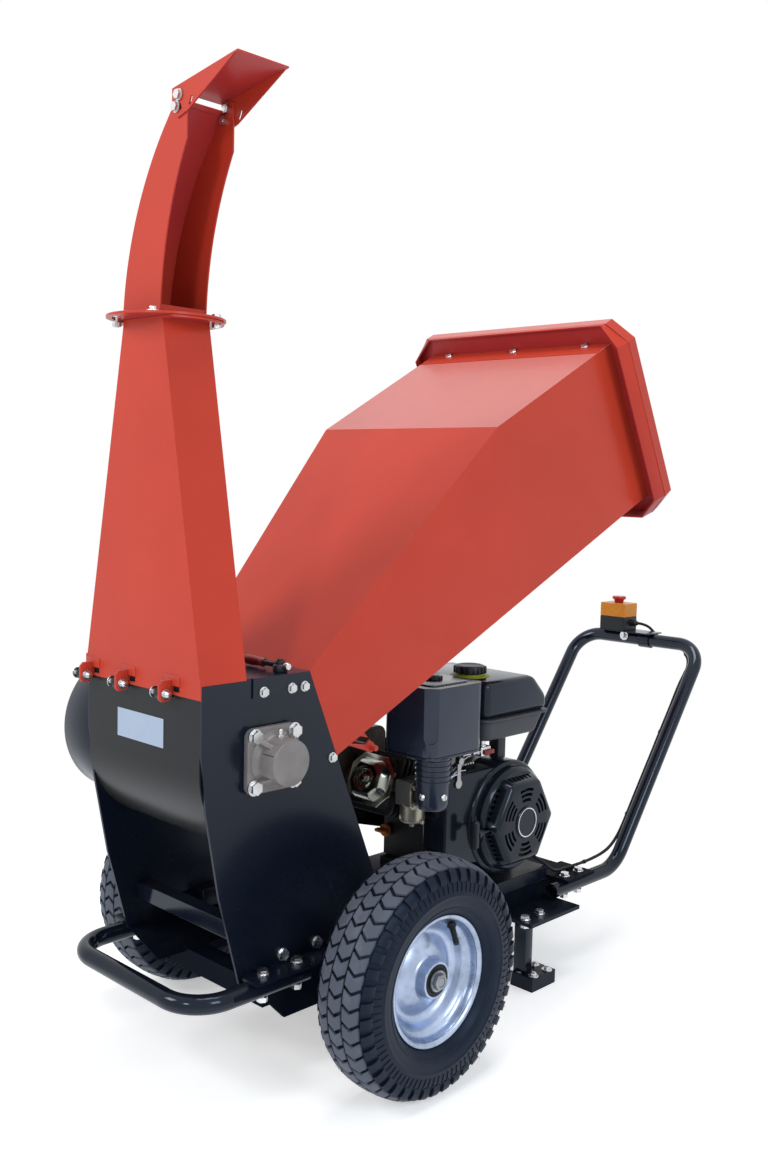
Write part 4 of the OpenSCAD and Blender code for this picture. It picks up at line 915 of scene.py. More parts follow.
class SHREDDER_OT_air_cleaner(bpy.types.Operator):
    """Model the air cleaner box, its ribbed lower cup, screws and knob"""
    bl_idname = "shredder.air_cleaner"
    bl_label = "Air cleaner"

    def execute(self, context):
        box = prism("air_box", rounded_outline(105, 256, 130, 156, 22, 8), "Z", 515, 646)
        arch = [(-15 * math.cos(math.radians(a)), 556 - 15 * math.sin(math.radians(a)))
                for a in range(0, 181, 15)]
        tool = prism("corner_flat", arch + [(15, 700), (-15, 700)], "Y", 0, 60)
        tool.location = Vector((170 - 14.5 * 0.7071, 178 + 14.5 * 0.7071, 0)) * MM
        tool.rotation_euler = (0, 0, math.radians(-135))
        cut(box, place_applied(tool))
        soften(box, 7.0, 4, 60)
        soften(box, 0.9, 2, 28)
        lid = prism("air_box_lid", rounded_outline(105, 256, 92, 112, 16, 6), "Z", 640, 648.5)
        soften(lid, 2.0, 3, 50)
        skirt = prism("air_box_skirt", rounded_outline(105, 256, 126, 152, 20, 6), "Z", 508, 513.4)
        soften(skirt, 1.2, 2, 50)
        cup = [(0, 406), (20, 406), (27, 408), (31.4, 413), (33, 421), (33, 458)]
        for i in range(5):
            level = 460 + 10 * i
            cup += [(33, level), (35.2, level + 0.9), (35.2, level + 5.2), (33, level + 6.1)]
        cup += [(33, 510), (0, 510)]
        lower = lathe("air_cup", cup, (138, 222, 0), "Z", 64)
        body = join("air_cleaner_case", [box, lid, skirt, lower])
        dress(body, "frame", "airbox", ["air_cleaner"], 32)
        knob = lathe("air_cleaner_knob", ((0, 0), (16, 0), (17, 2), (15.4, 6.4), (12, 8.2), (0, 8.6)),
                     (96, 262, 648), "Z", 32)
        rib = soften(block("knob_rib", (111, 260, 648), (114.6, 264, 655)), 0.8, 2)
        around(rib, 12, (96, 262, 648), "Z")
        knob = join("air_cleaner_knob", [knob, rib])
        dress(knob, "frame", "plastic")
        screws = []
        for turn in (-84, -8):
            line = ((0, 0), (6.4, 0), (6.6, 2), (5.2, 4), (0, 4.6))
            head = lathe("cup_screw", line, (171, 222, 436), "X", 20)
            groove = block("cup_groove", (174.4, 221.2, 428), (178, 222.8, 444))
            screws.append(turned(cut(head, groove), turn, "Z", (138, 222, 436)))
        dress(join("air_cup_screws", screws), "frame", "zinc")
        return {"FINISHED"}


class SHREDDER_OT_fuel_tank(bpy.types.Operator):
    """Model the fuel tank's two halves, seam, filler ring and ribbed cap"""
    bl_idname = "shredder.fuel_tank"
    bl_label = "Fuel tank"

    def execute(self, context):
        side = ((349, 563), (349, 640), (505, 640), (551, 596), (551, 563))
        upper = soften(prism("tank_upper_half", side, "X", -71, 161), 15, 6, 20)
        dress(upper, "frame", "tank", (), 40)
        flange = prism("tank_seam", rounded_outline(45, 450.5, 246, 214, 24, 6), "Z", 559.4, 564.6)
        soften(flange, 1.6, 3, 50)
        lower = prism("tank_lower", rounded_outline(45, 450, 228, 196, 20, 6), "Z", 516, 560)
        to_edit(lower)
        pick(lower, lambda f: f.normal.z < -0.9)
        bpy.ops.transform.resize(value=(0.9, 0.86, 1), center_override=Vector((45, 450, 516)) * MM)
        soften(lower, 7, 4, 50)
        feet = []
        for x in (-45, 40):
            for y in (400, 510):
                feet.append(soften(block("tank_foot", (x, y, 440), (x + 26, y + 26, 520)), 2.0, 2))
        low_half = join("tank_lower_half", [lower, flange] + feet)
        dress(low_half, "frame", "tank_low", ["fuel_tank"], 40)
        neck = lathe("tank_neck", ((40, 638), (40, 641.2), (38.4, 642), (28, 642), (27, 645), (20, 645.2),
                                   (20, 630), (40, 630), (40, 638)), (*CAP_SPOT, 0), "Z", 48)
        dress(neck, "frame", "lime")
        cap = lathe("cap_body", ((0, 645.5), (30.5, 645.5), (32, 647), (32, 657), (30.4, 660.4), (26.6, 662),
                                 (24, 661.2), (0, 661.0)), (*CAP_SPOT, 0), "Z", 64)
        rib = soften(block("cap_rib", (109, 391, 646), (113, 395, 659.5)), 1.2, 2)
        around(rib, 20, (*CAP_SPOT, 646), "Z")
        cap = join("fuel_cap_ribbed", [cap, rib])
        dress(cap, "tank_cap", "plastic", ["fuel_cap"], 40)
        return {"FINISHED"}


class SHREDDER_OT_starter(bpy.types.Operator):
    """Model the fan shroud, the six-sided starter cover with its slots, and the pull grip"""
    bl_idname = "shredder.starter"
    bl_label = "Fan shroud and starter"

    def execute(self, context):
        centre = (0, CRANK[0], CRANK[1])
        volute = [(407, 458), (292, 458)] + arc_points((286, 434), 24, 90, 180, 6) + [(262, 312), (286, 284)]
        volute += arc_points(CRANK, 118, 222, 471, 48)
        shroud = prism("shroud_shell", volute, "X", 78, 139.6)
        soften(shroud, 11, 5, 50)
        step = lathe("shroud_step", ((118, 130), (118, 139), (116.4, 143), (113, 145), (110, 145.6),
                                     (108.6, 150), (60, 150), (60, 130), (118, 130)), centre, "X", 96)
        shroud = join("fan_shroud_shell", [shroud, step])
        dress(shroud, "frame", "shroud", ["fan_shroud"], 40)

        ring = lathe("cover_ring", ((106.6, 150.2), (107.4, 152), (107, 158), (104, 162), (99.5, 166),
                                    (60, 166), (60, 150.2), (106.6, 150.2)), centre, "X", 96)
        corners = [(CRANK[0] + 106 * math.cos(math.radians(a)), CRANK[1] + 106 * math.sin(math.radians(a)))
                   for a in range(0, 360, 60)]
        face = prism("cover_face", corners, "X", 160, 192)
        to_edit(face)
        pick(face, lambda f: f.normal.x > 0.9)
        bpy.ops.transform.resize(value=(1, 0.86, 0.86), center_override=Vector((192, *CRANK)) * MM)
        soften(face, 8, 4, 25)
        slots = []
        for radius, half in ((46, 17), (56.5, 18), (67, 18.5)):
            outline = arc_points(CRANK, radius - 3.1, 90 - half, 90 + half, 8)
            outline += arc_points(CRANK, radius + 3.1, 90 + half, 90 - half, 8)
            slots.append(around(prism("slot", outline, "X", 183, 200), 6, centre, "X"))
        cut(face, join("slots", slots))
        sides = []
        for spread in (-30, -18, -6, 6, 18, 30):
            sides.append(block("side_slot", (166, CRANK[0] + spread - 3.4, CRANK[1] + 84),
                               (181, CRANK[0] + spread + 3.4, CRANK[1] + 110)))
        windows = join("side_slots", sides)
        cut(face, around(windows, 6, centre, "X"))
        hub = lathe("cover_hub", ((0, 188), (33, 188), (33, 193.6), (31.6, 195), (29.6, 195), (28.4, 193.8),
                                  (0, 193.6)), centre, "X", 64)
        cut(face, block("rope_exit", (166, 330, 338), (178, 372, 350)))
        trim = lathe("starter_hub_ring", ((28.0, 193.4), (29.8, 193.4), (30.0, 195.8), (28.8, 196.2),
                                          (27.8, 195.6), (28.0, 193.4)), centre, "X", 64)
        dress(trim, "frame", "zinc")
        cover = join("starter_cover", [ring, face, hub])
        dress(cover, "frame", "shroud", ["recoil_cover"], 32)

        rope = rod("rope", (172, 331, 344), "Y", 2.5, 70, 16)
        soften(rope, 0.4, 2)
        cone = lathe("grip_cone", ((0, 319), (9, 319), (8.8, 324), (7.6, 330), (6.4, 334.4), (5, 335),
                                   (0, 335)), (172, 0, 344), "Y", 24)
        bar = prism("grip_bar", rounded_outline(172, 344, 15, 58, 7.2, 6), "Y", 308, 319)
        soften(bar, 3.2, 3, 40)
        grip = join("starter_pull_grip", [rope, cone, bar])
        dress(grip, "starter_grip", "plastic", ["recoil_grip"], 40)
        return {"FINISHED"}


class SHREDDER_OT_engine_details(bpy.types.Operator):
    """Model the valve cover, carburettor details, wires, crankcase covers, fuel tap and dipstick"""
    bl_idname = "shredder.engine_details"
    bl_label = "Engine details"

    def execute(self, context):
        lean = Matrix.Rotation(math.radians(CYLINDER_LEAN), 4, "X")
        cylinder = Matrix.Translation(Vector((CYLINDER_X, *CRANK)) * MM) @ lean
        rim = soften(prism("valve_rim", octagon(59.5, 50.5, 27), "Z", 262, 267), 1.2, 2)
        dome = prism("valve_dome", octagon(53, 44, 24), "Z", 265, 288)
        to_edit(dome)
        pick(dome, lambda f: f.normal.z > 0.9)
        bpy.ops.transform.resize(value=(0.78, 0.76, 1), center_override=(0, 0, 0.288))
        soften(dome, 7, 5, 25)
        cut(dome, rod("recess", (0, 0, 282), "Z", 24, 20, 48))
        soften(dome, 1.0, 2, 60)
        boss = lathe("valve_boss", ((0, 280), (20, 280), (19.4, 284), (17, 285.6), (14, 285.6), (12.6, 284),
                                    (0, 284)), (0, 0, 0), "Z", 40)
        nut = soften(rod("valve_nut", (0, 0, 283), "Z", 9.5, 10, 6), 0.8, 2, 40)
        cover = join("valve_cover_pressing", [rim, dome, boss, nut])
        cover.matrix_world = cylinder
        place_applied(cover)
        dress(cover, "frame", "chrome", ["valve_cover"], 30)

        bowl = lathe("carb_bowl", ((0, 358), (4.6, 358), (4.6, 364), (9, 365), (18, 366.5), (23, 370),
                                   (25.4, 376), (25.6, 402), (28.4, 403.4), (28.4, 408.6), (20, 409),
                                   (0, 409)), (80, 229.2, 0), "Z", 48)
        drain = soften(rod("bowl_drain", (98, 229, 372), "X", 4.4, 12, 6), 0.6, 2, 40)
        flange = soften(block("carb_flange", (100, 196, 404), (106, 262, 452)), 3.0, 3)
        studs = [hex_bolt("carb_stud", (105.6, y, z), "X", 10, 6) for y in (203, 255) for z in (411, 445)]
        dress(join("carburettor_details", [bowl, drain, flange] + studs), "frame", "carb")

        pipe = wire("breather_pipe", ((112, 214, 452), (124, 240, 450), (134, 268, 456), (138, 292, 470),
                                      (132, 314, 486), (118, 328, 502), (100, 336, 512)), 4.6)
        dress(pipe, "frame", "pipe_blue")
        rods = [
            wire("governor_rod", ((96, 262, 446), (112, 282, 462), (124, 304, 463), (128, 330, 462)), 1.3, 2),
            wire("choke_rod", ((150, 222, 470), (156, 252, 468), (150, 282, 466)), 1.5, 2),
            wire("throttle_wire", ((147, 292, 486), (146, 310, 494), (138, 336, 492), (120, 352, 484)),
                 1.2, 2),
        ]
        turns = 11
        quarter = 0.5 * math.pi
        coil = [(110 + 3.2 * math.cos(quarter * i), 300 + 1.8 * i, 468 + 3.2 * math.sin(quarter * i))
                for i in range(4 * turns)]
        rods.append(wire("governor_spring", coil, 0.6, 1))
        plate = soften(block("control_plate", (118, 300, 496), (121, 336, 514)), 0.8, 2)
        tongue = soften(block("control_tongue", (120, 306, 496), (142, 330, 498.6)), 0.8, 2)
        heads = [hex_bolt("control_screw", (120.8, y, 506), "X", 8, 4) for y in (308, 328)]
        heads.append(hex_bolt("control_pivot", (133, 318, 498.4), "Z", 9, 5))
        dress(join("engine_linkage", rods + [plate, tongue] + heads), "frame", "zinc")

        flank = prism("side_cover", rounded_outline(450, 340, 188, 176, 42), "X", -113, -106.8)
        cut(flank, rod("boss_opening", (-120, *CRANK), "X", 45.3, 20, 72))
        rear = prism("rear_cover", rounded_outline(-15, 345, 128, 132, 24), "Y", 553, 562)
        covers = [soften(rear, 2.4, 3, 40), soften(flank, 1.6, 2, 40)]
        for x in (-101, -91, 58, 68):
            covers.append(soften(block("rear_rib", (x, 553, 244), (x + 4, 562, 432)), 1.5, 2, 40))
        dress(join("crankcase_covers", covers), "frame", "case")
        screws = [hex_bolt("rear_screw", (x, 561.6, z), "Y", 11, 6) for x in (-68, -15, 38)
                  for z in (290, 400)]
        screws.append(hex_bolt("oil_drain", (-15, 554.6, 254), "Y", 17, 9))
        for y in (370, 530):
            for z in (266, 340, 414):
                screws.append(hex_bolt("side_screw", (-112.6, y, z), "X", 11, 4, True))
        dress(join("crankcase_screws", screws), "frame", "dull")

        tap = soften(block("tap_body", (120, 362, 486), (142, 392, 506)), 3, 3)
        neck = lathe("tap_neck", ((0, 504), (8, 504), (8, 508), (6, 509), (6, 518), (0, 518)),
                     (131, 377, 0), "Z", 24)
        spout = lathe("tap_spout", ((0, 0), (5, 0), (5, 3), (3.6, 4), (3.6, 14), (4.4, 15), (3.4, 17),
                                    (0, 17)), (131, 345, 494), "Y", 20)
        dress(join("fuel_tap", [tap, neck, spout]), "frame", "zinc")
        lever = soften(block("fuel_tap_lever", (142, 366, 490), (148, 396, 500)), 2.4, 3)
        dress(lever, "frame", "grip")
        hose = wire("fuel_hose", ((131, 347, 494), (128, 334, 488), (112, 312, 470), (98, 284, 440),
                                  (94, 262, 424)), 4.0)
        dress(hose, "frame", "rubber")

        cap = lathe("dip_cap", ((0, 0), (13, 0), (14, 1.4), (14, 6.4), (12.6, 8), (9, 8.6), (0, 8.6)),
                    (-91, 328.2, 290), "Y", 32)
        wing = soften(block("dip_wing", (-108, 315, 286.4), (-74, 329.4, 293.6)), 2.6, 3)
        stem = rod("dip_stem", (-91, 335, 290), "Y", 8, 26, 24)
        soften(stem, 0.8, 2)
        dip = join("dipstick_cap", [cap, wing, stem])
        dress(dip, "dipstick", "dip", ["dipstick"], 40)
        return {"FINISHED"}


class SHREDDER_OT_small_parts(bpy.types.Operator):
    """Model the latch lever, the hopper curtain and the foot bolts"""
    bl_idname = "shredder.small_parts"
    bl_label = "Small parts"

    def execute(self, context):
        hub = lathe("latch_hub", ((5.2, 0), (12, 0), (12.4, 1), (12.4, 9), (11, 11.4), (8.6, 12.4),
                                  (8.6, 16.6), (7.4, 18), (5.2, 18), (5.2, 0)), LATCH_SPOT, "Z", 32)
        arm = soften(block("latch_arm", (94, -174, 719.4), (136, -162, 727.6)), 2.4, 3)
        cut(arm, rod("latch_bore", (138, -168, 700), "Z", 9, 60, 24))
        dress(join("latch_body", [hub, arm]), "latch", "plastic", ["latch_lever"], 40)
        grip = lathe("latch_grip", ((0, 0), (6.4, 0.3), (8.2, 2.2), (8.6, 8), (8.3, 22), (7.2, 36),
                                    (7.6, 42), (8.2, 45), (6.4, 47.6), (0, 48)), (50, -168, 723.4), "X", 32)
        dress(grip, "latch", "grip")
        tip = lathe("latch_tip", ((0, 0), (4.4, 0), (4.4, 3), (6.2, 4.4), (6.8, 8), (5.2, 11.6), (0, 12.6)),
                    (148, -168, 723.4), "X", 24)
        dress(tip, "latch", "zinc")

        top, low, half, strips = (583.5, 1300.9), 245.0, 230.0, 6
        width = 2 * half / strips
        parts = []
        for i in range(strips):
            x = -half + i * width
            deselect()
            bpy.ops.mesh.primitive_grid_add(x_subdivisions=4, y_subdivisions=10, size=2)
            strip = bpy.context.object
            for vertex in strip.data.vertices:
                across, down = (vertex.co.x + 1) / 2, (1 - vertex.co.y) / 2
                lean = (2.0 * math.sin(2.6 * down + i) + 1.4 * math.sin(3.1 * across + 2 * i) - 1.0) * down
                vertex.co = Vector((x + 1 + across * (width - 2), top[0] + lean,
                                    top[1] - 34 - down * (low - 34))) * MM
            sheet = strip.modifiers.new("sheet", "SOLIDIFY")
            sheet.thickness = 4 * MM
            sheet.offset = 0
            choose(strip)
            bpy.ops.object.modifier_apply(modifier=sheet.name)
            parts.append(soften(strip, 0.7, 2, 50))
        band = soften(block("curtain_band", (-half, top[0] - 2, top[1] - 40),
                            (half, top[0] + 2, top[1] + 2)), 0.7, 2)
        curtain = join("rubber_curtain", parts + [band])
        dress(curtain, "curtain", "rubber", ["hopper_curtain"], 40)

        bolts = []
        for s in (-1, 1):
            for x, y in ((180, 463), (180, 509), (212, 463), (212, 509)):
                bolts.append(hex_bolt("foot_bolt", (s * (x + 2), y, 28), "Z", 11, 6))
        dress(join("foot_bolts", bolts), "frame", "zinc")
        return {"FINISHED"}


class SHREDDER_OT_housing_details(bpy.types.Operator):
    """Model the plate fold, the nut covers, the chute's top lip and the hopper rim's skirt and strip"""
    bl_idname = "shredder.housing_details"
    bl_label = "Housing details"

    def execute(self, context):
        fold = ((-157.2, 216), (-64, 184.6), (-64, 181.8), (-157.2, 213.2))
        foot = soften(prism("plate_fold", fold, "Y", -264, -70), 0.8, 2, 40)
        dress(foot, "frame", "frame")
        top = ((85.6, 1597), (77.1, 1597), (83.4, 1605), (88.6, 1605))
        chute_lip = soften(prism("chute_top_lip", top, "Y", -346.4, -261.2), 0.6, 2, 40)
        dress(chute_lip, "outlet", "red")
        covers = []
        for x in (-157.2, 132):
            covers.append(soften(block("nut_cover", (x, -116, 218), (x + 25.2, -72, 256)), 3, 3, 40))
        dress(join("nut_covers", covers), "frame", "black")

        width, height, corner, depth = 572.0, 433.0, 43.0, 30.0

        def skirt(inset, low, high):
            a, b, c = width / 2 - inset, height / 2 - inset, corner - 0.6 * inset
            piece = prism("lip_skirt", octagon(a, b, c), "Z", low, high)
            to_edit(piece)
            pick(piece, lambda f: f.normal.z < -0.9)
            bpy.ops.transform.resize(value=(1 - 11 / a, 1 - 1 / b, 1), center_override=(0, 0, low * MM))
            deselect()
            return piece

        rim = cut(skirt(0.0, -depth, 0.0), skirt(3.0, -depth - 0.2, 0.2))
        to_edit(rim, "VERT")
        pick(rim, lambda v: v.co.z < -25 * MM and v.co.y < -195 * MM, "VERT")
        bpy.ops.transform.translate(value=(0, 0, 21 * MM))
        deselect()
        soften(rim, 0.9, 2, 20)
        lean = Matrix.Rotation(math.radians(MOUTH_LEAN - 90), 4, "X")
        mouth = Matrix.Translation(Vector((0, *MOUTH_TOP)) * MM) @ lean
        rim.matrix_world = mouth @ Matrix.Translation((0, 0.1735, 0))
        rim.name = "hopper_rim_skirt"
        dress(place_applied(rim), "frame", "red", (), 20)
        # The strip along the mouth wears the darker copy of the red without its painted highlight, so the top
        # panel's painted highlight ends at a crisp line.
        strap = soften(block("hopper_edge_strip", (-239, -1.2, -52), (239, -0.05, -3.1)), 0.4, 1, 40)
        strap.matrix_world = mouth
        dress(place_applied(strap), "frame", "red_shaded_matte")
        return {"FINISHED"}


class SHREDDER_OT_fittings(bpy.types.Operator):
    """Model the axle and its nuts, the outlet's ring bolts, the tower hinges and the stop button"""
    bl_idname = "shredder.fittings"
    bl_label = "Fittings"

    def execute(self, context):
        nuts = []
        for turn in (0, 180):
            washer = lathe("axle_washer", ((8.2, 357.4), (17.6, 357.4), (18.4, 358), (18.0, 360.2),
                                           (8.2, 360.4), (8.2, 357.4)), (0, 0, AXLE_Z), "X", 40)
            nut = soften(rod("axle_nut", (360, 0, AXLE_Z), "X", 14.6, 7.2, 6), 1.4, 3, 40)
            cut(nut, rod("axle_bore", (340, 0, AXLE_Z), "X", 8.1, 60, 40))
            nuts.append(turned(join("axle_nut", [washer, nut]), turn, "Z", (0, 0, 0)))
        dress(join("axle_nuts_dull", nuts), NODES["axle_nuts"]["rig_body"], "dull", ["axle_nuts"], 40)

        end = ((12.5, 357.3), (8, 357.4), (8, 365.8), (7, 367), (2.6, 367), (1.6, 365.6), (0, 365.4))
        line = [(r, -x) for r, x in reversed(end)] + list(end)
        axle = lathe("axle_turned", line, (0, 0, AXLE_Z), "X", 40)
        dress(axle, NODES["axle"]["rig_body"], "dull", ["axle"], 40)

        ring = []
        for angle in (130, 310):
            x, y = 82 * math.cos(math.radians(angle)), -303.8 + 82 * math.sin(math.radians(angle))
            ring.append(hex_bolt("ring_bolt", (x, y, 1286.4), "Z", 10, 6))
        for x in (-44, 30):
            rivet = ((0, 0), (4, 0), (3.4, 1.8), (0, 2.4))
            ring.append(lathe("foot_rivet", rivet, (x, -372, 1286.4), "Z", 16))
        dress(join("outlet_ring_bolts", ring), "outlet", "zinc")

        cheeks, bolts = [], []
        for x in HINGE_SPOTS:
            line = ((-349.4, 712), (-368, 712), (-374, 706), (-374, 682), (-369, 677.5), (-357, 677.5),
                    (-352, 681.5), (-349.4, 687))
            cheek = soften(prism("hinge_cheek", line, "X", x, x + 5), 0.7, 2, 40)
            cheeks.append(cut(cheek, rod("hinge_bore", (x - 5, *HINGE), "X", 4.6, 20, 24)))
            cheeks.append(soften(block("hinge_cap", (x - 14, -351.0, 702.5), (x + 25.5, -346.6, 718.5)),
                                 0.8, 2, 40))
            head = hex_bolt("hinge_head", (x - 24, *HINGE), "X", 9.5, 6, True)
            shank = soften(rod("hinge_shank", (x - 25, *HINGE), "X", 4, 41, 20), 0.6, 2, 40)
            bolts += [head, shank, hex_bolt("hinge_nut", (x + 5.4, *HINGE), "X", 9.5, 6.0)]
        dress(join("hinge_cheeks", cheeks), "tower", "red")
        dress(join("hinge_bolt_set", bolts), NODES["hinge_bolts"]["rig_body"], "zinc", ["hinge_bolts"])

        button = lathe("stop_button_head", ((0, -10), (11, -10), (11, 1), (11.6, 4), (12.8, 7.6),
                                            (16.6, 9.6), (17.4, 11.4), (17.4, 14.8), (16, 16.6), (0, 17.2)),
                       (-64.5, 1156, 731), "Z", 40)
        dress(button, "stop_button", "button", ["estop_button"], 40)
        dress(hex_bolt("bracket_bolt", (-34, 1139, 650), "Y", 12, 6, True), "frame", "zinc")
        return {"FINISHED"}


CABLE_POINTS = (
    (-25.4, 1160, 682), (-12, 1164, 682), (0, 1174, 679), (9, 1186, 672), (18, 1192, 662), (32, 1192, 652),
    (52, 1186, 644), (74, 1179, 639), (96, 1177, 634), (114, 1174, 628), (130, 1164, 618), (144, 1150, 606),
    (153, 1132, 592), (158, 1112, 580), (158.2, 1090, 557), (158.2, 1050, 503), (158.2, 1010, 450),
    (158.2, 970, 396), (158.2, 930, 343), (158.2, 900, 303), (158.2, 880, 276), (158.2, 860, 250),
    (158.2, 838, 228), (158.2, 812, 212), (158.2, 784, 204), (158, 750, 200), (157, 715, 198),
    (156, 680, 198), (154, 640, 198), (153, 612, 200), (150, 597, 208), (142, 587, 219),
    (128, 576, 230), (108, 567, 240), (84, 559.6, 248), (62, 558.8, 250))
CABLE_DIAMETER = 7.0


class SHREDDER_OT_cable(bpy.types.Operator):
    """Run the stop switch cable down the handle to the engine"""
    bl_idname = "shredder.cable"
    bl_label = "Stop switch cable"

    def execute(self, context):
        cable = wire("stop_switch_cable", CABLE_POINTS, CABLE_DIAMETER / 2)
        dress(cable, "frame", "cable", ["estop_cable"], 60)
        gland = lathe("cable_gland", ((0, -27), (9, -27), (9, -22), (7.6, -21.4), (7.6, -14), (6, -12.6),
                                      (4.4, -8), (0, -8)), (0, 1160, 682), "X", 24)
        dress(gland, "frame", "plastic")
        straps = []
        for i in (10, 16, 20, 26):
            x, y, z = CABLE_POINTS[i]
            line = Vector(CABLE_POINTS[i + 1]) - Vector(CABLE_POINTS[i - 1])
            loop = ((4.6, -3), (4.6, 3), (3.4, 3), (3.4, -3), (4.6, -3))
            band = lathe("cable_strap", loop, (0, 0, 0), "Z", 20)
            band.rotation_euler = line.to_track_quat("Z", "Y").to_euler()
            band.location = Vector((x, y, z)) * MM
            straps.append(place_applied(band))
        dress(join("cable_straps", straps), "frame", "plastic")
        return {"FINISHED"}


# Camera of the photograph: azimuth, pitch and roll in degrees, place in metres, lens in pixels
CAMERA_ANGLES = (44.2, 4.8, 1.4)
CAMERA_PLACE = (1.6038, -1.4334, 1.0383)
SENSOR, FOCAL_PIXELS, FRAME_PIXELS = 36.0, 1173.6, 1152


def seen_directly(tree):
    """Socket that is 1 for what the camera sees straight, in a mirror or through glass."""
    path = tree.nodes.new("ShaderNodeLightPath")
    both = tree.nodes.new("ShaderNodeMath")
    every = tree.nodes.new("ShaderNodeMath")
    for node in (both, every):
        node.operation = "MAXIMUM"
    tree.links.new(path.outputs["Is Camera Ray"], both.inputs[0])
    tree.links.new(path.outputs["Is Glossy Ray"], both.inputs[1])
    tree.links.new(both.outputs[0], every.inputs[0])
    tree.links.new(path.outputs["Is Transmission Ray"], every.inputs[1])
    return every.outputs[0]


def studio_white():
    """White floor that keeps the shadow near the machine and fades to plain white."""
    f = Finish("Studio floor white")
    f.set(Base_Color=(0.93, 0.93, 0.93, 1), Roughness=0.9, Emission_Color=(1, 1, 1, 1),
          Emission_Strength=0.42)
    reach = f.add("ShaderNodeVectorMath", {"operation": "LENGTH"}, {0: f.place}, out="Value")
    white = f.add("ShaderNodeEmission", None, {"Color": (1, 1, 1, 1), "Strength": 1.0})
    far = f.ramp(reach, 0.75, 1.5) * Link(f, seen_directly(f.tree))
    mixed = f.add("ShaderNodeMixShader", None, {0: far, 1: Link(f, f.shader.outputs[0]), 2: white})
    out = next(n for n in f.tree.nodes if n.type == "OUTPUT_MATERIAL")
    f.tree.links.new(mixed.socket, out.inputs[0])
    return f.material


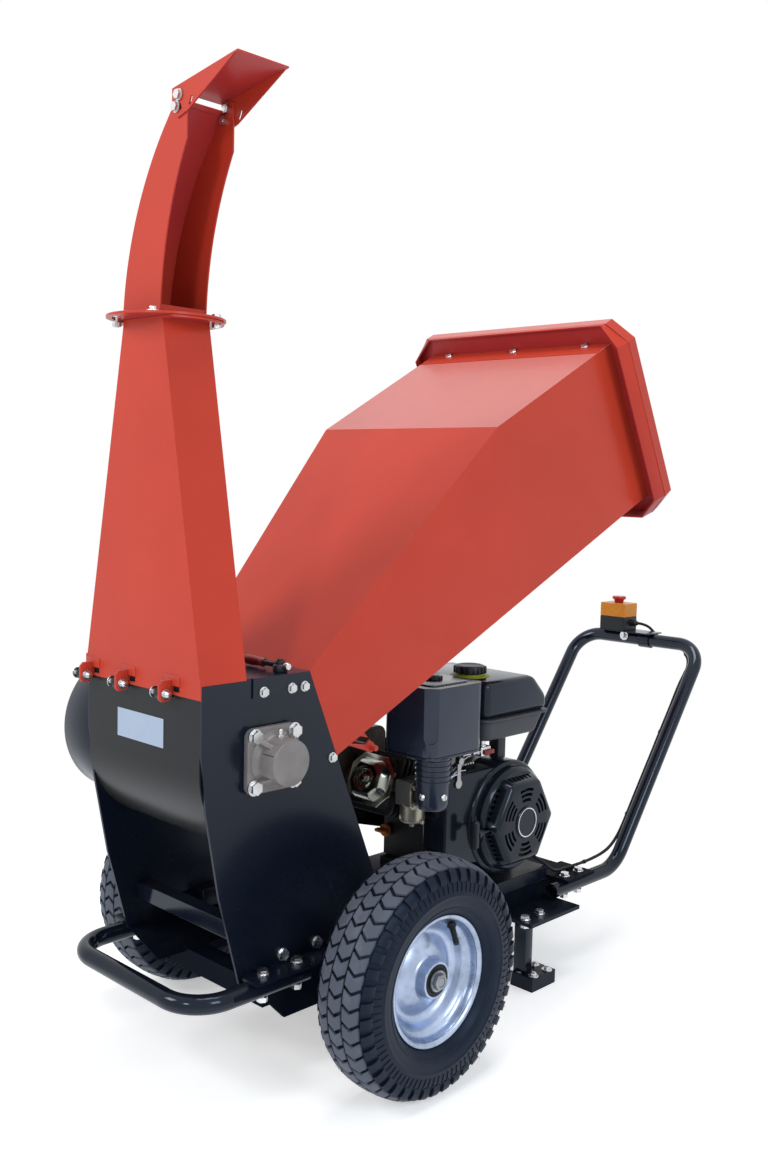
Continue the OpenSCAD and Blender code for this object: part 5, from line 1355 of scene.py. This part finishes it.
class SHREDDER_OT_stage(bpy.types.Operator):
    """Set the floor, the light and the camera"""
    bl_idname = "shredder.stage"
    bl_label = "Studio"

    def execute(self, context):
        deselect()
        bpy.ops.mesh.primitive_plane_add(size=40, location=(0, 0, 0))
        floor = context.object
        floor.name = "studio_floor"
        floor.data.materials.append(studio_white())

        world = bpy.data.worlds.new("Studio")
        context.scene.world = world
        world.use_nodes = True
        tree = world.node_tree
        back = tree.nodes["Background"]
        back.inputs["Color"].default_value = (0.90, 0.95, 1.0, 1)
        back.inputs["Strength"].default_value = 0.36
        white = tree.nodes.new("ShaderNodeBackground")
        white.inputs["Color"].default_value = (1, 1, 1, 1)
        white.inputs["Strength"].default_value = 1.0
        mix = tree.nodes.new("ShaderNodeMixShader")
        tree.links.new(seen_directly(tree), mix.inputs[0])
        tree.links.new(back.outputs[0], mix.inputs[1])
        tree.links.new(white.outputs[0], mix.inputs[2])
        tree.links.new(mix.outputs[0], tree.nodes["World Output"].inputs["Surface"])

        def lamp(name, place, aim, size, power, colour=(1, 1, 1)):
            deselect()
            bpy.ops.object.light_add(type="AREA", location=place)
            light = context.object
            light.name = name
            light.data.shape = "RECTANGLE"
            light.data.size, light.data.size_y = size
            light.data.energy = power
            light.data.color = colour
            light.rotation_euler = (Vector(aim) - Vector(place)).to_track_quat("-Z", "Y").to_euler()

        lamp("key_front_left", (-1.6, -3.6, 3.2), (0, 0, 0.7), (1.5, 1.5), 86)
        lamp("front_right", (1.35, -3.8, 2.3), (0, 0, 0.8), (0.6, 0.6), 30)
        lamp("fill_right", (4.0, -0.6, 2.6), (0, 0.1, 0.7), (1.3, 1.7), 62, (0.84, 0.92, 1.0))
        lamp("top_soft", (0.2, 0.4, 4.6), (0, 0.1, 0.5), (2.0, 2.0), 88)

        azimuth, pitch, roll = (math.radians(angle) for angle in CAMERA_ANGLES)
        back_way = Vector((math.sin(azimuth) * math.cos(pitch), -math.cos(azimuth) * math.cos(pitch),
                           math.sin(pitch)))
        right = Vector((math.cos(azimuth), math.sin(azimuth), 0))
        up = back_way.cross(right)
        right, up = (right * math.cos(roll) + up * math.sin(roll),
                     up * math.cos(roll) - right * math.sin(roll))
        data = bpy.data.cameras.new("photo_camera")
        camera = bpy.data.objects.new("photo_camera", data)
        context.scene.collection.objects.link(camera)
        turn = Matrix((right, up, back_way)).transposed().to_4x4()
        camera.matrix_world = Matrix.Translation(Vector(CAMERA_PLACE)) @ turn
        data.sensor_fit = "VERTICAL"
        data.sensor_height = SENSOR
        data.lens = SENSOR * FOCAL_PIXELS / FRAME_PIXELS
        data.clip_end = 100
        context.scene.camera = camera
        context.scene.view_settings.view_transform = "Standard"
        return {"FINISHED"}


STEPS = (SHREDDER_OT_finishes, SHREDDER_OT_stage, SHREDDER_OT_cable, SHREDDER_OT_wheels,
         SHREDDER_OT_sheet_metal, SHREDDER_OT_belt_guard, SHREDDER_OT_bearing, SHREDDER_OT_air_cleaner,
         SHREDDER_OT_fuel_tank, SHREDDER_OT_starter, SHREDDER_OT_engine_details, SHREDDER_OT_small_parts,
         SHREDDER_OT_housing_details, SHREDDER_OT_fittings)


class SHREDDER_PT_panel(bpy.types.Panel):
    """Lists the settings and the steps that make the shredder's looks"""
    bl_idname = "SHREDDER_PT_panel"
    bl_label = "Shredder"
    bl_space_type = "VIEW_3D"
    bl_region_type = "UI"
    bl_category = "Shredder"

    def draw(self, context):
        for group in (context.scene.shredder_look, context.scene.shredder_sizes):
            for key in group.__annotations__:
                self.layout.prop(group, key)
        for step in STEPS:
            self.layout.operator(step.bl_idname)


CLASSES = (ShredderLook, ShredderSizes) + STEPS + (SHREDDER_PT_panel,)


def register():
    for cls in CLASSES:
        bpy.utils.register_class(cls)
    bpy.types.Scene.shredder_look = bpy.props.PointerProperty(type=ShredderLook)
    bpy.types.Scene.shredder_sizes = bpy.props.PointerProperty(type=ShredderSizes)


def unregister():
    del bpy.types.Scene.shredder_sizes
    del bpy.types.Scene.shredder_look
    for cls in reversed(CLASSES):
        bpy.utils.unregister_class(cls)


def main():
    register()
    for step in STEPS:
        group, name = step.bl_idname.split(".")
        getattr(getattr(bpy.ops, group), name)()


if __name__ == "__main__":
    main()
